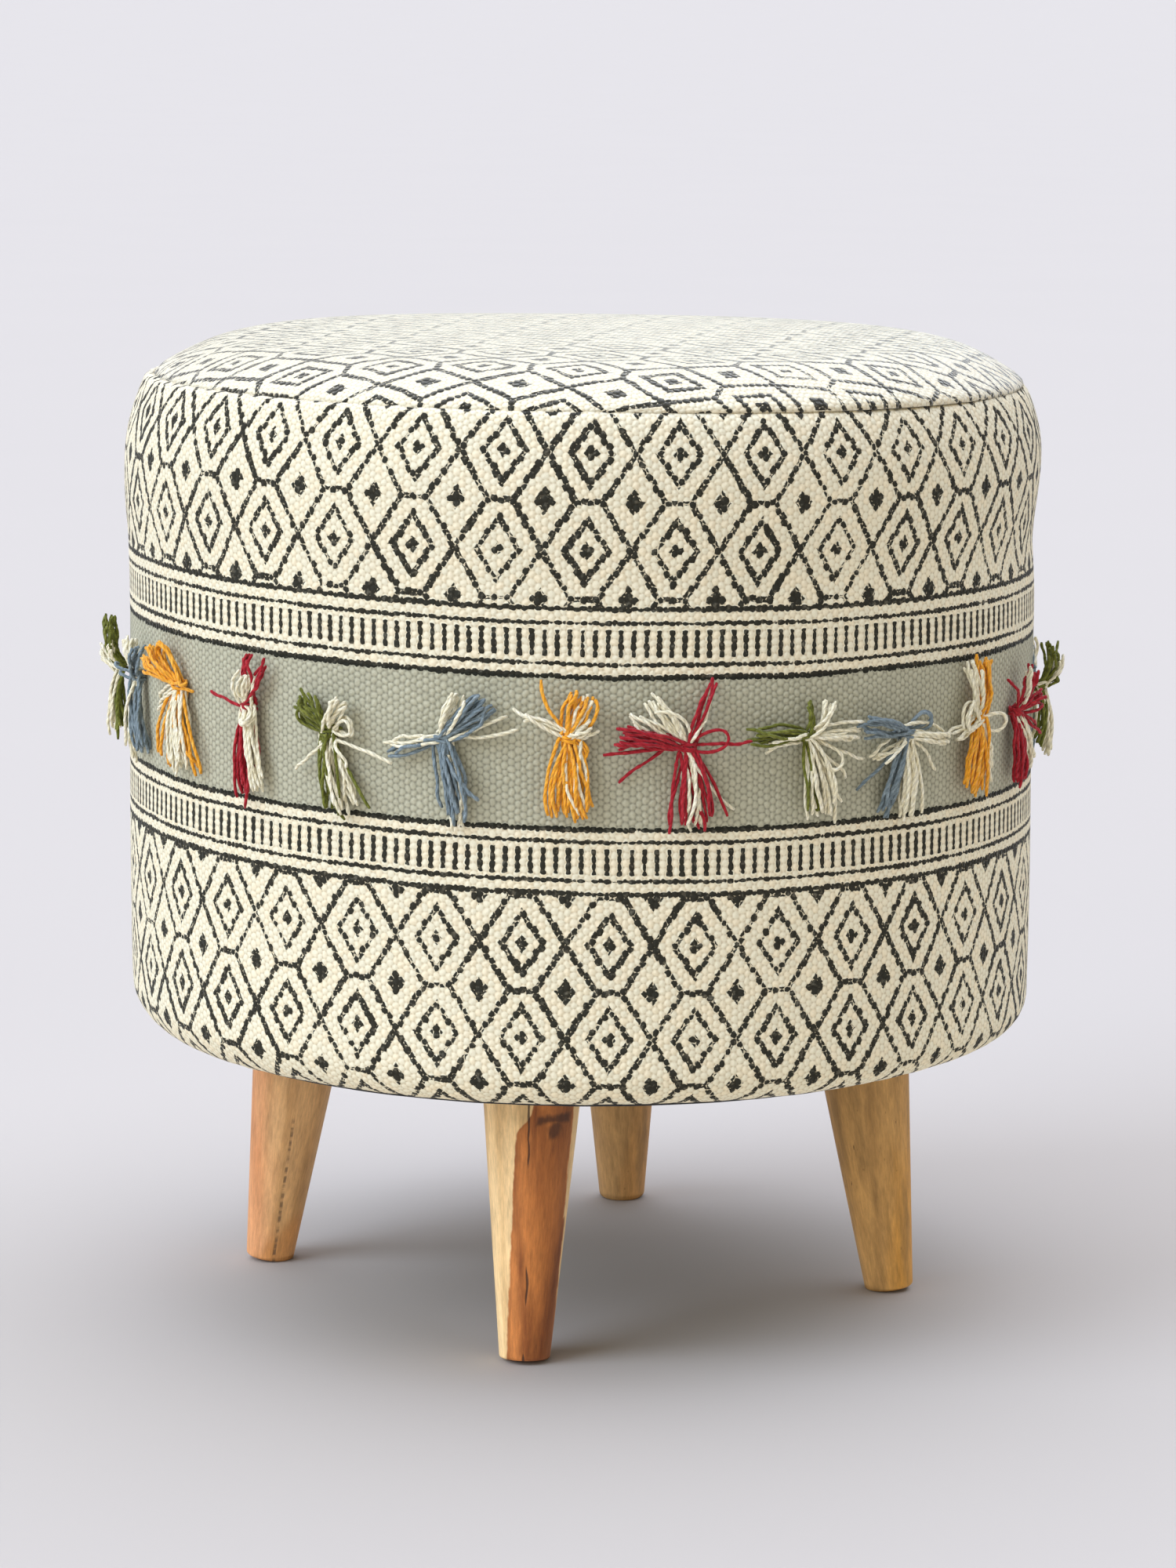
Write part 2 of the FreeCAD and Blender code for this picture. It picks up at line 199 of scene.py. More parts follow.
# %% Finishes
class Finish:
    """One material: a shader with constant sockets, and patterns that feed colour, roughness and bump."""

    def __init__(self, name, roughness, **constants):
        self.material = bpy.data.materials.new(name)
        self.material.use_nodes = True
        self.tree = self.material.node_tree
        self.shader = self.tree.nodes["Principled BSDF"]
        self.shader.inputs["Roughness"].default_value = roughness
        for socket, value in constants.items():
            self.shader.inputs[socket.replace("_", " ")].default_value = value

    def node(self, kind, **settings):
        node = self.tree.nodes.new(kind)
        for name, value in settings.items():
            setattr(node, name, value)
        return node

    def link(self, value, socket):
        plug(self.tree, value, socket)

    def parts(self, vector):
        split = self.node("ShaderNodeSeparateXYZ")
        self.link(vector, split.inputs[0])
        return [Field(self.tree, out) for out in split.outputs]

    def cloth_mm(self):
        """The two coordinates of the cloth's UV map, in millimetres."""
        u, v, _ = self.parts(self.node("ShaderNodeUVMap", uv_map="cloth").outputs[0])
        return u / MM, v / MM

    def object_mm(self):
        x, y, z = self.parts(self.node("ShaderNodeTexCoord").outputs["Object"])
        return x / MM, y / MM, z / MM

    def joined(self, x, y, z=0.0):
        join = self.node("ShaderNodeCombineXYZ")
        for value, socket in zip((x, y, z), join.inputs):
            self.link(value, socket)
        return join.outputs[0]

    def noise(self, x, y, z=0.0, size=1.0, detail=2.0, roughness=0.5):
        """Soft noise about 0.5, with patches of about the given size."""
        node = self.node("ShaderNodeTexNoise")
        self.link(self.joined(x, y, z), node.inputs["Vector"])
        node.inputs["Scale"].default_value = 1 / size
        node.inputs["Detail"].default_value = detail
        node.inputs["Roughness"].default_value = roughness
        return Field(self.tree, node.outputs["Fac"])

    def random(self, x, y):
        """A number from 0 to 1 for each pair of whole numbers."""
        node = self.node("ShaderNodeTexWhiteNoise", noise_dimensions="2D")
        self.link(self.joined(x, y), node.inputs["Vector"])
        return Field(self.tree, node.outputs["Value"])

    def mixed(self, amount, first, second):
        """The first colour where amount is 0, the second where it is 1."""
        node = self.node("ShaderNodeMix", data_type="RGBA")
        self.link(amount, node.inputs["Factor"])
        for value, socket in ((first, node.inputs["A"]), (second, node.inputs["B"])):
            self.link((*value, 1.0) if isinstance(value, tuple) else value, socket)
        return node.outputs["Result"]

    def shaded(self, colour, amount):
        """The colour times a number that varies."""
        node = self.node("ShaderNodeVectorMath", operation="SCALE")
        self.link(colour, node.inputs[0])
        self.link(amount, node.inputs["Scale"])
        return node.outputs[0]

    def feed(self, **sockets):
        for socket, value in sockets.items():
            self.link(value, self.shader.inputs[socket.replace("_", " ")])

    def bump(self, height, depth):
        """Relief: height from 0 to 1 stands for that depth in metres."""
        node = self.node("ShaderNodeBump")
        node.inputs["Distance"].default_value = depth
        self.link(height, node.inputs["Height"])
        self.link(node.outputs[0], self.shader.inputs["Normal"])


print("finishes can be fed with noise, mixed colours and relief")

# %% [markdown]
# ## The weave
# The canvas is a coarse half-drop weave: each yarn shows as a round nub, and each column of nubs is set half
# a step from the next. Three sets of straight waves, added, give exactly that relief: nubs on two grids half
# a step apart, which touch their six neighbours and leave small dips between. The nearer nub owns a point.

# %% Weave
nub_across_mm = 5.15
nub_up_mm = 3.1
weave_wander_mm = 0.9
nub_wander_mm = 2.0


class Weave:
    """Nubs on two grids half a step apart: their relief, and for each point the nearest nub."""

    def __init__(self, finish):
        self.finish = finish
        self.u, self.v = finish.cloth_mm()
        drift, sway = self.uneven(0.0, 34, 2), self.uneven(40.0, 34, 2)
        jolt, jog = self.uneven(70.0, 4.0, 1), self.uneven(95.0, 4.0, 1)
        u = self.u + drift * weave_wander_mm + jolt * nub_wander_mm
        v = self.v + sway * weave_wander_mm + jog * nub_wander_mm
        across, up = u.wrapped(nub_across_mm), v.wrapped(nub_up_mm)
        half_across = (u - nub_across_mm / 2).wrapped(nub_across_mm)
        half_up = (v - nub_up_mm / 2).wrapped(nub_up_mm)
        first, second = far(across, up * 0.9), far(half_across, half_up * 0.9)
        other = first.math("GREATER_THAN", second)
        self.off_u = across + (half_across - across) * other
        self.off_v = up + (half_up - up) * other
        turn = u * (2 * math.pi / nub_across_mm)
        wave = (turn * 2).cosine() + turn.cosine() * (v * (2 * math.pi / nub_up_mm)).cosine() * 2
        # The three waves together run from -1.5 to 3, and the core from 0 to 1.
        self.core = (wave / 4.5 + 1.5 / 4.5).math("MAXIMUM", 0.0)
        self.dome = self.core.power(0.36)
        whole_u = ((u - self.off_u) / (nub_across_mm / 2)).rounded()
        whole_v = ((v - self.off_v) / (nub_up_mm / 2)).rounded()
        self.pick = finish.random(whole_u, whole_v)
        self.fibre = finish.noise(self.u, self.v, size=0.45, detail=3)

    def uneven(self, layer, size_mm, detail):
        """Soft noise about nought over the cloth; each layer of it is another pattern."""
        return self.finish.noise(self.u, self.v, layer, size=size_mm, detail=detail) - 0.5


print("nubs", nub_across_mm / 2, "by", nub_up_mm, "mm apart")

# %% [markdown]
# ## The print
# The block print is hexagons in columns, each with a diamond and a dot inside, and a solid diamond between
# every four. It is symmetric, so folding the coordinates to one quarter of a block leaves a few simple
# distances. A print could be an image, but a formula stays sharp and follows the cloth's coordinates.

# %% Block print
block_wide_mm = 35.55
block_tall_mm = 39.25
bar_half_mm = 5.2
inner_diamond_mm = (8.6, 12.5)
dot_mm = (3.0, 3.7)
solid_diamond_mm = (4.2, 5.3)
block_line_mm = 1.25


def diamond_depth(x, y, half_wide, half_tall):
    """How deep a point lies inside a diamond about the origin, negative outside it."""
    slope = math.hypot(1 / half_wide, 1 / half_tall)
    return (1.0 - (x / half_wide + y / half_tall)) / slope


def block_ink(u, v):
    """Ink depth in a quarter of a block: slanted sides, a bar across, a ring, a dot and a solid corner."""
    x, y = abs(u.wrapped(block_wide_mm)), abs(v.wrapped(block_tall_mm))
    half_wide, half_tall = block_wide_mm / 2, block_tall_mm / 2
    run = half_wide - bar_half_mm
    side = abs((x - half_wide) * half_tall + y * run) / math.hypot(half_tall, run)
    bar = far((x - bar_half_mm).math("MAXIMUM", 0.0), y - half_tall)
    ring = abs(diamond_depth(x, y, *inner_diamond_mm))
    lines = block_line_mm - lowest(side, bar, ring)
    dot = diamond_depth(x, y, *dot_mm)
    corner = diamond_depth(abs(x - half_wide), abs(y - half_tall), *solid_diamond_mm)
    return highest(lines, dot, corner)


print("block", block_wide_mm, "by", block_tall_mm, "mm")

# %% [markdown]
# The side panel carries two fields of blocks. Between them lies the grey band, held by ruled lines and two
# ladders of short strokes. All heights below are heights on the drum's wall.

# %% Side and top prints
thick_line_mm = 1.2
thin_line_mm = 0.92
thick_heights_mm = (328.1, 300.7, 238.5, 212.0)
thin_heights_mm = (322.3, 305.8, 233.4, 217.3)
ladder_heights_mm = (314.05, 225.35)
stroke_pitch_mm = 5.15
stroke_half_mm = (1.1, 5.5)
grey_heights_mm = (238.5, 300.7)
upper_block_mm = (32.0, 351.4)
lower_block_mm = (42.8, 190.9)
upper_lean = 0.05
top_block_mm = (-16.7, -158.5)
top_turn = math.radians(-4.7)


def side_rules(u, v):
    """How deep a point lies inside the nearest of the ruled rings and the two ladders of strokes."""
    rules = [thick_line_mm - abs(v - z) for z in thick_heights_mm]
    rules += [thin_line_mm - abs(v - z) for z in thin_heights_mm]
    stroke = stroke_half_mm[0] - abs(u.wrapped(stroke_pitch_mm))
    rules += [lowest(stroke, stroke_half_mm[1] - abs(v - z)) for z in ladder_heights_mm]
    return highest(*rules)


def side_ink(u, v):
    """Blocks above the top rule and below the bottom one."""
    upper_v = v - upper_block_mm[1]
    upper_u = u - upper_block_mm[0] - upper_v * upper_lean
    upper = lowest(block_ink(upper_u, upper_v), v - max(thick_heights_mm))
    lower = lowest(block_ink(u - lower_block_mm[0], v - lower_block_mm[1]), min(thick_heights_mm) - v)
    return highest(upper, lower)


def side_grey(v):
    """How deep a height lies inside the grey band."""
    return lowest(v - grey_heights_mm[0], grey_heights_mm[1] - v)


def top_ink(u, v):
    """The same blocks, turned so that they lie along the width."""
    x, y = u - top_block_mm[0], v - top_block_mm[1]
    along = x * math.cos(top_turn) + y * math.sin(top_turn)
    across = y * math.cos(top_turn) - x * math.sin(top_turn)
    return block_ink(across, along)


print("rules at", sorted(thick_heights_mm + thin_heights_mm))

# %% [markdown]
# ## Canvas
# Block ink sits on the tops of the nubs and misses the dips, so a printed line is a chain of beads. The
# block's depth is therefore cut by a bead round each nub, varied nub by nub, and ends sharply. The ruled
# lines took more ink, so there the nub's dome only adds to the depth. The dips are darkened as painted
# shade. At a low angle the nap of the cloth hides the print: the seat has a strong sheen for that, and its
# print is made a little paler in the middle, a painted highlight that stands in for glare.

# %% Canvas finish
cream = (0.84, 0.775, 0.565)
# painted shade: the colour of the dips between the nubs, darker where shade falls
cream_dip_shade = (0.61, 0.51, 0.325)
cream_warm = (0.82, 0.72, 0.50)
band_grey = (0.455, 0.435, 0.305)
ink_black = (0.0070, 0.0075, 0.0050)
nub_snap = 0.35
nub_edge = 0.07
rule_snap = 0.15
print_wander_mm = 1.5
nub_relief = 0.6 * MM
# painted highlight: the seat's print is made paler towards the middle, standing in for glare at a low angle
glare_fade_reach_mm = (55, 145)
glare_fade_share = 0.7
side_nap = {"Sheen_Weight": 0.15, "Sheen_Roughness": 0.25}
top_nap = {"Sheen_Weight": 1.0, "Sheen_Roughness": 0.35, "Sheen_Tint": (1.0, 0.975, 0.88, 1.0)}


def ink_amount(weave, block_of, rules_of):
    """1 where the print's depth, with the load of ink and the nubs' beads, passes nought; 0 elsewhere."""
    slip, slide = weave.uneven(9.0, 55, 1) * print_wander_mm, weave.uneven(23.0, 55, 1) * print_wander_mm
    blot, heavy = weave.uneven(3.0, 7.0, 3), weave.uneven(77.0, 40, 1)
    load = (weave.pick - 0.5) * 0.5 + blot * 0.9 + heavy * 0.9
    block = block_of(weave.u - weave.off_u * nub_snap + slip, weave.v - weave.off_v * nub_snap + slide)
    filled = (block - 0.9).math("MAXIMUM", 0.0) * 0.6
    bead = (weave.core - nub_edge) * 2.0 + load * 0.6 + filled
    depth = lowest(block + load, bead)
    if rules_of:
        rules = rules_of(weave.u - weave.off_u * rule_snap + slip, weave.v - weave.off_v * rule_snap + slide)
        depth = highest(depth, rules + (weave.dome - 0.75) * 0.9 + load)
    bare = (weave.uneven(91.0, 2.4, 2) - 0.05).math("MAXIMUM", 0.0) * 0.6
    return (depth + weave.uneven(5.0, 0.9, 2) * 0.55).ramp(-0.1, 0.12) * (0.97 - bare)


def plain_cloth(finish, weave, grey_of):
    """Cream nubs over painted shade in the dips, with a grey band if there is one; nub, fibre and patch vary
    the tone.
    """
    nubs = finish.mixed(weave.pick.ramp(0.3, 1.0), cream, cream_warm)
    # painted shade: the dips between the nubs take the darker dip colour
    cloth = finish.mixed(weave.dome.ramp(0.08, 0.74), cream_dip_shade, nubs)
    if grey_of:
        v = weave.v - weave.off_v * nub_snap + weave.uneven(23.0, 55, 1) * print_wander_mm
        grey = (grey_of(v) + (weave.dome - 0.5) * 0.5).ramp(-0.1, 0.3)
        grey = grey * (1.0 - (weave.fibre - 0.5) * 0.4)
        # painted shade: the grey band is darker in the dips between its nubs
        band = finish.shaded(band_grey, weave.dome.ramp(0.1, 0.85) * 0.5 + 0.54)
        cloth = finish.mixed(grey, cloth, band)
    tone = (weave.pick - 0.5) * 0.12 + (weave.fibre - 0.5) * 0.25
    return finish.shaded(cloth, tone + weave.uneven(60.0, 60, 2) * 0.10 + 1.0)


def canvas(name, nap, block_of, rules_of=None, grey_of=None, paler_tone=False):
    """Printed canvas: plain cloth, ink on it, and the relief of the nubs and their fibres."""
    finish = Finish(name, 0.93, Specular_IOR_Level=0.1, **nap)
    weave = Weave(finish)
    ink = ink_amount(weave, block_of, rules_of)
    # painted highlight: paler print in the middle of the seat stands in for glare
    if paler_tone:
        ink = ink * (far(weave.u, weave.v).ramp(*glare_fade_reach_mm) * (1 - glare_fade_share) + glare_fade_share)
    inked = finish.shaded(ink_black, (weave.fibre - 0.5) * 1.6 + 1.15)
    finish.feed(Base_Color=finish.mixed(ink, plain_cloth(finish, weave, grey_of), inked))
    finish.bump(weave.core.power(0.55) * (weave.pick * 0.3 + 0.6) + weave.fibre * 0.35, nub_relief)
    return finish.material


canvas_side = canvas("canvas_side", side_nap, side_ink, side_rules, side_grey)
canvas_top = canvas("canvas_top", top_nap, top_ink, paler_tone=True)
print("canvas has", len(canvas_side.node_tree.nodes), "nodes")

# %% [markdown]
# ## Surfaces
# Most pieces are a surface worked out as whole numpy arrays: a grid of points, with one face between each
# four neighbours. `grid_piece` puts such a grid into a mesh. Its rows are rings round the axis. It carries
# the flat cloth's coordinates as its UV map, so that the print isn't stretched.

# %% Grid helper
def quad_corners(grid):
    """The four corners of each cell of a grid, in order round the cell."""
    return np.stack((grid[:-1, :-1], grid[:-1, 1:], grid[1:, 1:], grid[1:, :-1]), axis=2)


def grid_piece(name, points, flat=None, capped=False):
    """A mesh from points[row, column], each row a closed ring; flat[row, column] is the UV map."""
    rows, columns = points.shape[:2]
    number = np.arange(rows * columns).reshape(rows, columns)
    cap = [number[-1].tolist()] if capped else []
    faces = quad_corners(np.hstack((number, number[:, :1])))
    mesh = bpy.data.meshes.new(name)
    mesh.from_pydata(points.reshape(-1, 3), [], faces.reshape(-1, 4).tolist() + cap)
    if flat is not None:
        corners = quad_corners(flat).reshape(-1, 2)
        if capped:
            corners = np.vstack((corners, flat[-1, :columns]))
        layer = mesh.uv_layers.new(name="cloth")
        layer.data.foreach_set("uv", corners.astype(np.float32).ravel())
    mesh.shade_smooth()
    return added(name, mesh)


def arc_points(start, end, centre, count):
    """The angle about the centre runs evenly from start to end."""
    a, b = np.subtract(start, centre), np.subtract(end, centre)
    angle = np.linspace(math.atan2(a[1], a[0]), math.atan2(b[1], b[0]), count)
    radius = np.hypot(*a)
    return np.column_stack((centre[0] + radius * np.cos(angle), centre[1] + radius * np.sin(angle)))


def along(points):
    """The distance along a line of points, from its first."""
    steps = np.linalg.norm(np.diff(points, axis=0), axis=1)
    return np.concatenate(([0.0], np.cumsum(steps)))


def resampled(points, places):
    """The points of a line at given distances along it."""
    run = along(points)
    return np.column_stack([np.interp(places, run, points[:, k]) for k in range(points.shape[1])])


def ripple(angle, height, seed, waves, rise):
    """A sum of a few slow waves around and up the drum, from -1 to 1, the same each run."""
    rng = np.random.default_rng(seed)
    total = np.zeros(np.broadcast(angle, height).shape)
    for wave in waves:
        turn, climb = rng.uniform(0, 2 * np.pi), rng.uniform(-1, 1)
        total += np.cos(wave * angle + turn + climb * height * 2 * np.pi / rise)
    return total / len(waves)


print("grid helper ready")

# %% [markdown]
# ## Side panel
# The side panel is a tube of canvas: turned under at the bottom and stapled, drawn in a little at the neck,
# full round the seat, and sewn to the top panel at the shoulder. Its section is a chain of arcs, carried
# round the axis. The seam pulls the cloth in, and small puckers run down from it and die out.

# %% Section of the cover
cover_low, cover_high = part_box("cover_side")
cloth_thick = 1.6 * MM
body_radius = 199.0 * MM
seat_radius = cover_high.x
body_bottom = cover_low.z
bottom_round = 16 * MM
hem_inner = 163.1 * MM
neck_z = 338 * MM
wide_z = 372 * MM
seam = np.array((193.5, 407.0)) * MM
crown_edge = np.array((150.0, 422.6)) * MM
seat_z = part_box("cover_top")[1].z


def upright_centre(wide, other):
    """The centre of an arc that stands upright at wide and runs through other."""
    out, up = wide[0] - other[0], wide[1] - other[1]
    return (wide[0] - (out ** 2 + up ** 2) / (2 * out), wide[1])


def side_section():
    """From the hem's inner edge, round the bottom, up the wall and in to the seam."""
    under, foot = (body_radius - bottom_round, body_bottom), (body_radius, body_bottom + bottom_round)
    neck, wide = (body_radius, neck_z), (seat_radius, wide_z)
    return np.vstack((
        [(hem_inner, body_bottom)],
        arc_points(under, foot, (under[0], foot[1]), 40),
        arc_points(neck, wide, upright_centre(wide, neck), 60),
        arc_points(wide, seam, upright_centre(wide, seam), 60)[1:],
    ))


def crown_section():
    """From the axis over the crown and down to the seam."""
    drop = seat_z - crown_edge[1]
    reach = (crown_edge[0] ** 2 + drop ** 2) / (2 * drop)
    middle = np.array((0.0, seat_z - reach))
    normal = (crown_edge - middle) / reach
    across = seam - crown_edge
    edge_reach = -(across @ across) / (2 * across @ normal)
    return np.vstack((
        arc_points((0.0, seat_z), crown_edge, middle, 160),
        arc_points(crown_edge, seam, crown_edge - edge_reach * normal, 120)[1:],
    ))


seam_run = along(side_section())[-1]
whole_run = seam_run + along(crown_section())[-1]
print("hem to seam", round(seam_run, 4), "m, hem to axis", round(whole_run, 4), "m")

# %% [markdown]
# The real cover sits a little askew: its printed rings, and the seam with them, run some millimetres higher
# on the left than on the right. The drum isn't a perfect turned form either. A few soft pushes give it the
# slumped shoulder and the drawn-in neck. Each is written as an azimuth, a height, how wide and how tall it
# is, and how far it pushes.

# %% Cover surface
columns = 440
side_rows = 103
crown_rows = 62
skew_right = math.tan(math.radians(-0.90))
skew_away = math.tan(math.radians(0.52))
skew_lift = 1.58 * MM
section_reach = 0.52
section_step = 0.4 * MM
calm_reach = 60 * MM
soft_pushes_mm = [
    (-95, 408, 55, 22, -2.0), (70, 405, 40, 14, -1.4), (85, 344, 50, 20, -1.8), (-95, 350, 45, 25, 0.8),
    (-90, 210, 60, 60, 0.7), (90, 180, 60, 60, 1.0), (-66, 123, 45, 11, -2.4), (60, 124, 45, 10, 0.9),
    (-130, 425, 62, 6, 2.6), (110, 422, 40, 6, 1.2),
]


def panel_skew(azimuth):
    """How far the panel sits up from level: a plane through the drum, tilted to the right and away."""
    turn = azimuth - camera_azimuth
    return skew_lift + body_radius * (skew_right * np.sin(turn) - skew_away * np.cos(turn))


def outward(section):
    """Unit normals of a section that runs anticlockwise, on its outer side."""
    slope = np.gradient(section, axis=0)
    slope /= np.linalg.norm(slope, axis=1, keepdims=True)
    return np.column_stack((slope[:, 1], -slope[:, 0]))


def soft_push(azimuth, height):
    """A sum of smooth bumps, each falling off with the angle and the height from its middle."""
    total = np.zeros(np.broadcast(azimuth, height).shape)
    for turn, middle, wide, tall, push in soft_pushes_mm:
        angle = np.angle(np.exp(1j * (azimuth - camera_azimuth - math.radians(turn))))
        total += push * np.exp(-(angle / math.radians(wide)) ** 2 - ((height / MM - middle) / tall) ** 2)
    return total * MM


def round_axis(radius, azimuth, height):
    """Points at a radius, an azimuth from -Y and a height."""
    x, y = radius * np.sin(azimuth), -radius * np.cos(azimuth)
    return np.stack((x, y, np.broadcast_to(height, x.shape)), axis=-1)


def cover_points(places, azimuth, push):
    """The whole section, hem to axis, at distances along it and azimuths, moved along its normal."""
    section = np.vstack((side_section(), crown_section()[-2::-1]))
    line = resampled(section, np.arange(0, section_reach, section_step))
    run = along(line)
    out, up = (np.interp(places, run, part) for part in line.T)
    normal_out, normal_up = (np.interp(places, run, part) for part in outward(line).T)
    soft = soft_push(azimuth, up) * (1 - np.exp(-(out / calm_reach) ** 2))
    radius = out + (push + soft) * normal_out
    return round_axis(radius, azimuth, up + push * normal_up + soft * np.maximum(normal_up, 0))


ring = np.linspace(-np.pi, np.pi, columns + 1)
print(len(soft_pushes_mm), "soft pushes on a cover of", columns, "columns")

# %% Side panel
seam_dip = 1.2 * MM
seam_reach = 2.6 * MM
pucker_depth = 0.6 * MM
pucker_reach = 16 * MM
wall_wave = 0.45 * MM
hem_gather = 0.9 * MM
hem_reach = 14 * MM
back_seam_dip = 0.8 * MM
back_seam_reach = 2.5 * MM
wall_starts_at = 40
print_ease = 0.3 * MM


def puckers(azimuth, away):
    """Small uneven gathers at a seam and the dip of the seam itself, dying out with the distance away."""
    gather = ripple(azimuth, away, seed=5, waves=(47, 61, 74, 88, 103, 121), rise=1.0)
    dip = seam_dip * np.exp(-(away / seam_reach) ** 2)
    return gather * pucker_depth * np.exp(-away / pucker_reach) - dip


def stand_for(node, piece):
    """The piece takes the place of a CAD node, which is hidden, and rides on the ottoman's body."""
    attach(piece, "ottoman")
    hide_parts(node)


def thicken(piece, thickness):
    """Gives a sheet its thickness on the inside."""
    solid = piece.modifiers.new("thickness", "SOLIDIFY")
    solid.thickness = thickness
    solid.offset = -1
    return piece


def add_side_panel():
    """The section from hem to seam, carried round; puckers, the back seam and the hem's gathers move it."""
    azimuth = ring[:-1]
    share = np.linspace(0, 1, side_rows)[:, None]
    places = share * (seam_run + panel_skew(azimuth))
    away = places[-1] - places
    push = puckers(azimuth, away)
    push += wall_wave * ripple(azimuth, away, seed=8, waves=(2, 3, 5, 7, 9), rise=0.25)
    gather = 1 + ripple(azimuth, away, seed=13, waves=(52, 67, 83), rise=1.0)
    push -= hem_gather * gather * np.exp(-places / hem_reach)
    back_seam = (np.pi - np.abs(azimuth)) * body_radius
    push -= back_seam_dip * np.exp(-(back_seam / back_seam_reach) ** 2)
    wall_start = along(side_section())[wall_starts_at]
    run = share * (seam_run + panel_skew(ring))
    v = run - wall_start + body_bottom + bottom_round - panel_skew(ring)
    u = np.broadcast_to(ring * (body_radius + print_ease), v.shape)
    piece = grid_piece("side_panel", cover_points(places, azimuth, push), np.stack((u, v), axis=-1))
    piece.data.materials.append(canvas_side)
    return piece


side_panel = thicken(add_side_panel(), cloth_thick)
stand_for("cover_side", side_panel)

# %% [markdown]
# ## Top panel
# The top panel is a disc stretched over the foam. Its flat coordinates are measured along the cloth from
# the middle, so the print keeps its size up to the seam.

# %% Top panel
crown_wave = 0.8 * MM
ring_spacing = 0.8
crown_end = 0.9998


def add_top_panel():
    """The section from seam to axis, carried round; flat coordinates are measured from the axis."""
    azimuth = ring[:-1]
    share = (1 - (1 - np.linspace(0, 1, crown_rows)) ** ring_spacing)[:, None] * crown_end
    start = seam_run + panel_skew(azimuth)
    places = start + share * (whole_run - start)
    away = places - start
    calm = 1 - np.exp(-((whole_run - places) / calm_reach) ** 2)
    push = puckers(azimuth, away)
    push += crown_wave * calm * ripple(azimuth, away, seed=21, waves=(1, 2, 3, 4), rise=0.2)
    from_axis = (1 - share) * (whole_run - seam_run - panel_skew(ring))
    flat = from_axis[..., None] * np.stack((np.sin(ring), -np.cos(ring)), axis=-1)
    piece = grid_piece("top_panel", cover_points(places, azimuth, push), flat, capped=True)
    piece.data.materials.append(canvas_top)
    return piece


top_panel = thicken(add_top_panel(), cloth_thick)
stand_for("cover_top", top_panel)
top_cut = 2 * (whole_run - seam_run)
top_area = math.pi * top_cut ** 2 / 4
print("top panel cut", round(top_cut, 3), "m across")

# %% [markdown]
# ## Padding and dust cover
# Inside the cover are the crowned seat foam and a wadding sheet round the wall. Under the drum a thin black
# cloth closes it. They hardly show, but the part can be opened, so each is a closed soft form.

# %% Soft finishes
def fleece(name, colour, pale, size_mm, depth_mm):
    """Foam, wadding or felt: clumps of fibre or cells of one size, darker between them."""
    finish = Finish(name, 0.95, Sheen_Weight=0.15)
    x, y, z = finish.object_mm()
    clump = finish.noise(x, y, z, size=size_mm * 6, detail=3)
    cell = finish.noise(x, y, z, size=size_mm, detail=2)
    shade = finish.mixed(clump.ramp(0.3, 0.7), colour, pale)
    finish.feed(Base_Color=finish.shaded(shade, (cell - 0.5) * 0.6 + 1.0))
    finish.bump(cell, depth_mm * MM)
    return finish.material


foam = fleece("foam", (0.62, 0.56, 0.40), (0.72, 0.67, 0.50), size_mm=0.8, depth_mm=0.5)
wadding = fleece("wadding", (0.66, 0.65, 0.61), (0.80, 0.79, 0.76), size_mm=1.6, depth_mm=0.8)
felt = fleece("dust_felt", (0.022, 0.022, 0.024), (0.045, 0.045, 0.048), size_mm=0.5, depth_mm=0.3)
print("soft finishes", foam.name, wadding.name, felt.name)

# %% Padding
pad_columns = 96
pad_wave = 0.6 * MM
pad_round = 13 * MM
pad_lift = 4 * MM
pad_wall_from = 24 * MM
pad_faces = (0.6 * MM, 9.9 * MM)
axis_gap = 0.2 * MM
inset = cloth_thick + 3.2 * MM
seam_inset = inset + 1.5 * MM
base_inset = inset + 4.7 * MM
crown_share = 0.985


def turned_points(section, uneven):
    """A closed section carried round the axis; slow waves of a given size keep it from looking machined."""
    azimuth = np.linspace(-np.pi, np.pi, pad_columns, endpoint=False)
    wave = uneven * ripple(azimuth, section[:, 1:], seed=31, waves=(2, 3, 5, 8), rise=0.12)
    radius = np.maximum(section[:, :1] + np.minimum(wave, 0), 0)
    return round_axis(radius, azimuth, section[:, 1:])


def add_padding(node, name, section, finish):
    """A pad in the place of its CAD solid."""
    piece = grid_piece(name, turned_points(section, pad_wave))
    piece.data.materials.append(finish)
    stand_for(node, piece)
    return piece


foam_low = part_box("seat_foam")[0]
crown = crown_section()[-13::-8]
foam_wide = (seat_radius - inset, wide_z)
foam_seam = (seam[0] - seam_inset, seam[1] - inset)
foam_base = (seat_radius - base_inset, foam_low.z)
foam_section = np.vstack((
    [(axis_gap, foam_low.z)],
    arc_points(foam_base, foam_wide, upright_centre(foam_wide, foam_base), 12),
    arc_points(foam_wide, foam_seam, upright_centre(foam_wide, foam_seam), 14)[1:],
    np.column_stack((crown[:, 0] * crown_share, crown[:, 1] - inset)),
    [(axis_gap, seat_z - inset)],
))
seat_pad = add_padding("seat_foam", "seat_pad", foam_section, foam)
pad_low, pad_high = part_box("side_padding")
pad_out, pad_in = (pad_high.x - face for face in pad_faces)
pad_foot, pad_turn = pad_low.z + pad_lift, pad_low.z + pad_round
pad_section = np.vstack((
    arc_points((pad_in, pad_foot), (pad_out, pad_turn), (pad_in, pad_turn), 10),
    [(pad_out, z) for z in np.linspace(pad_low.z + pad_wall_from, pad_high.z, 24)],
    [(pad_in, z) for z in np.linspace(pad_high.z, pad_foot, 24)],
))
side_pad = add_padding("side_padding", "side_pad", pad_section, wadding)
print("pads", len(seat_pad.data.polygons), len(side_pad.data.polygons), "faces")

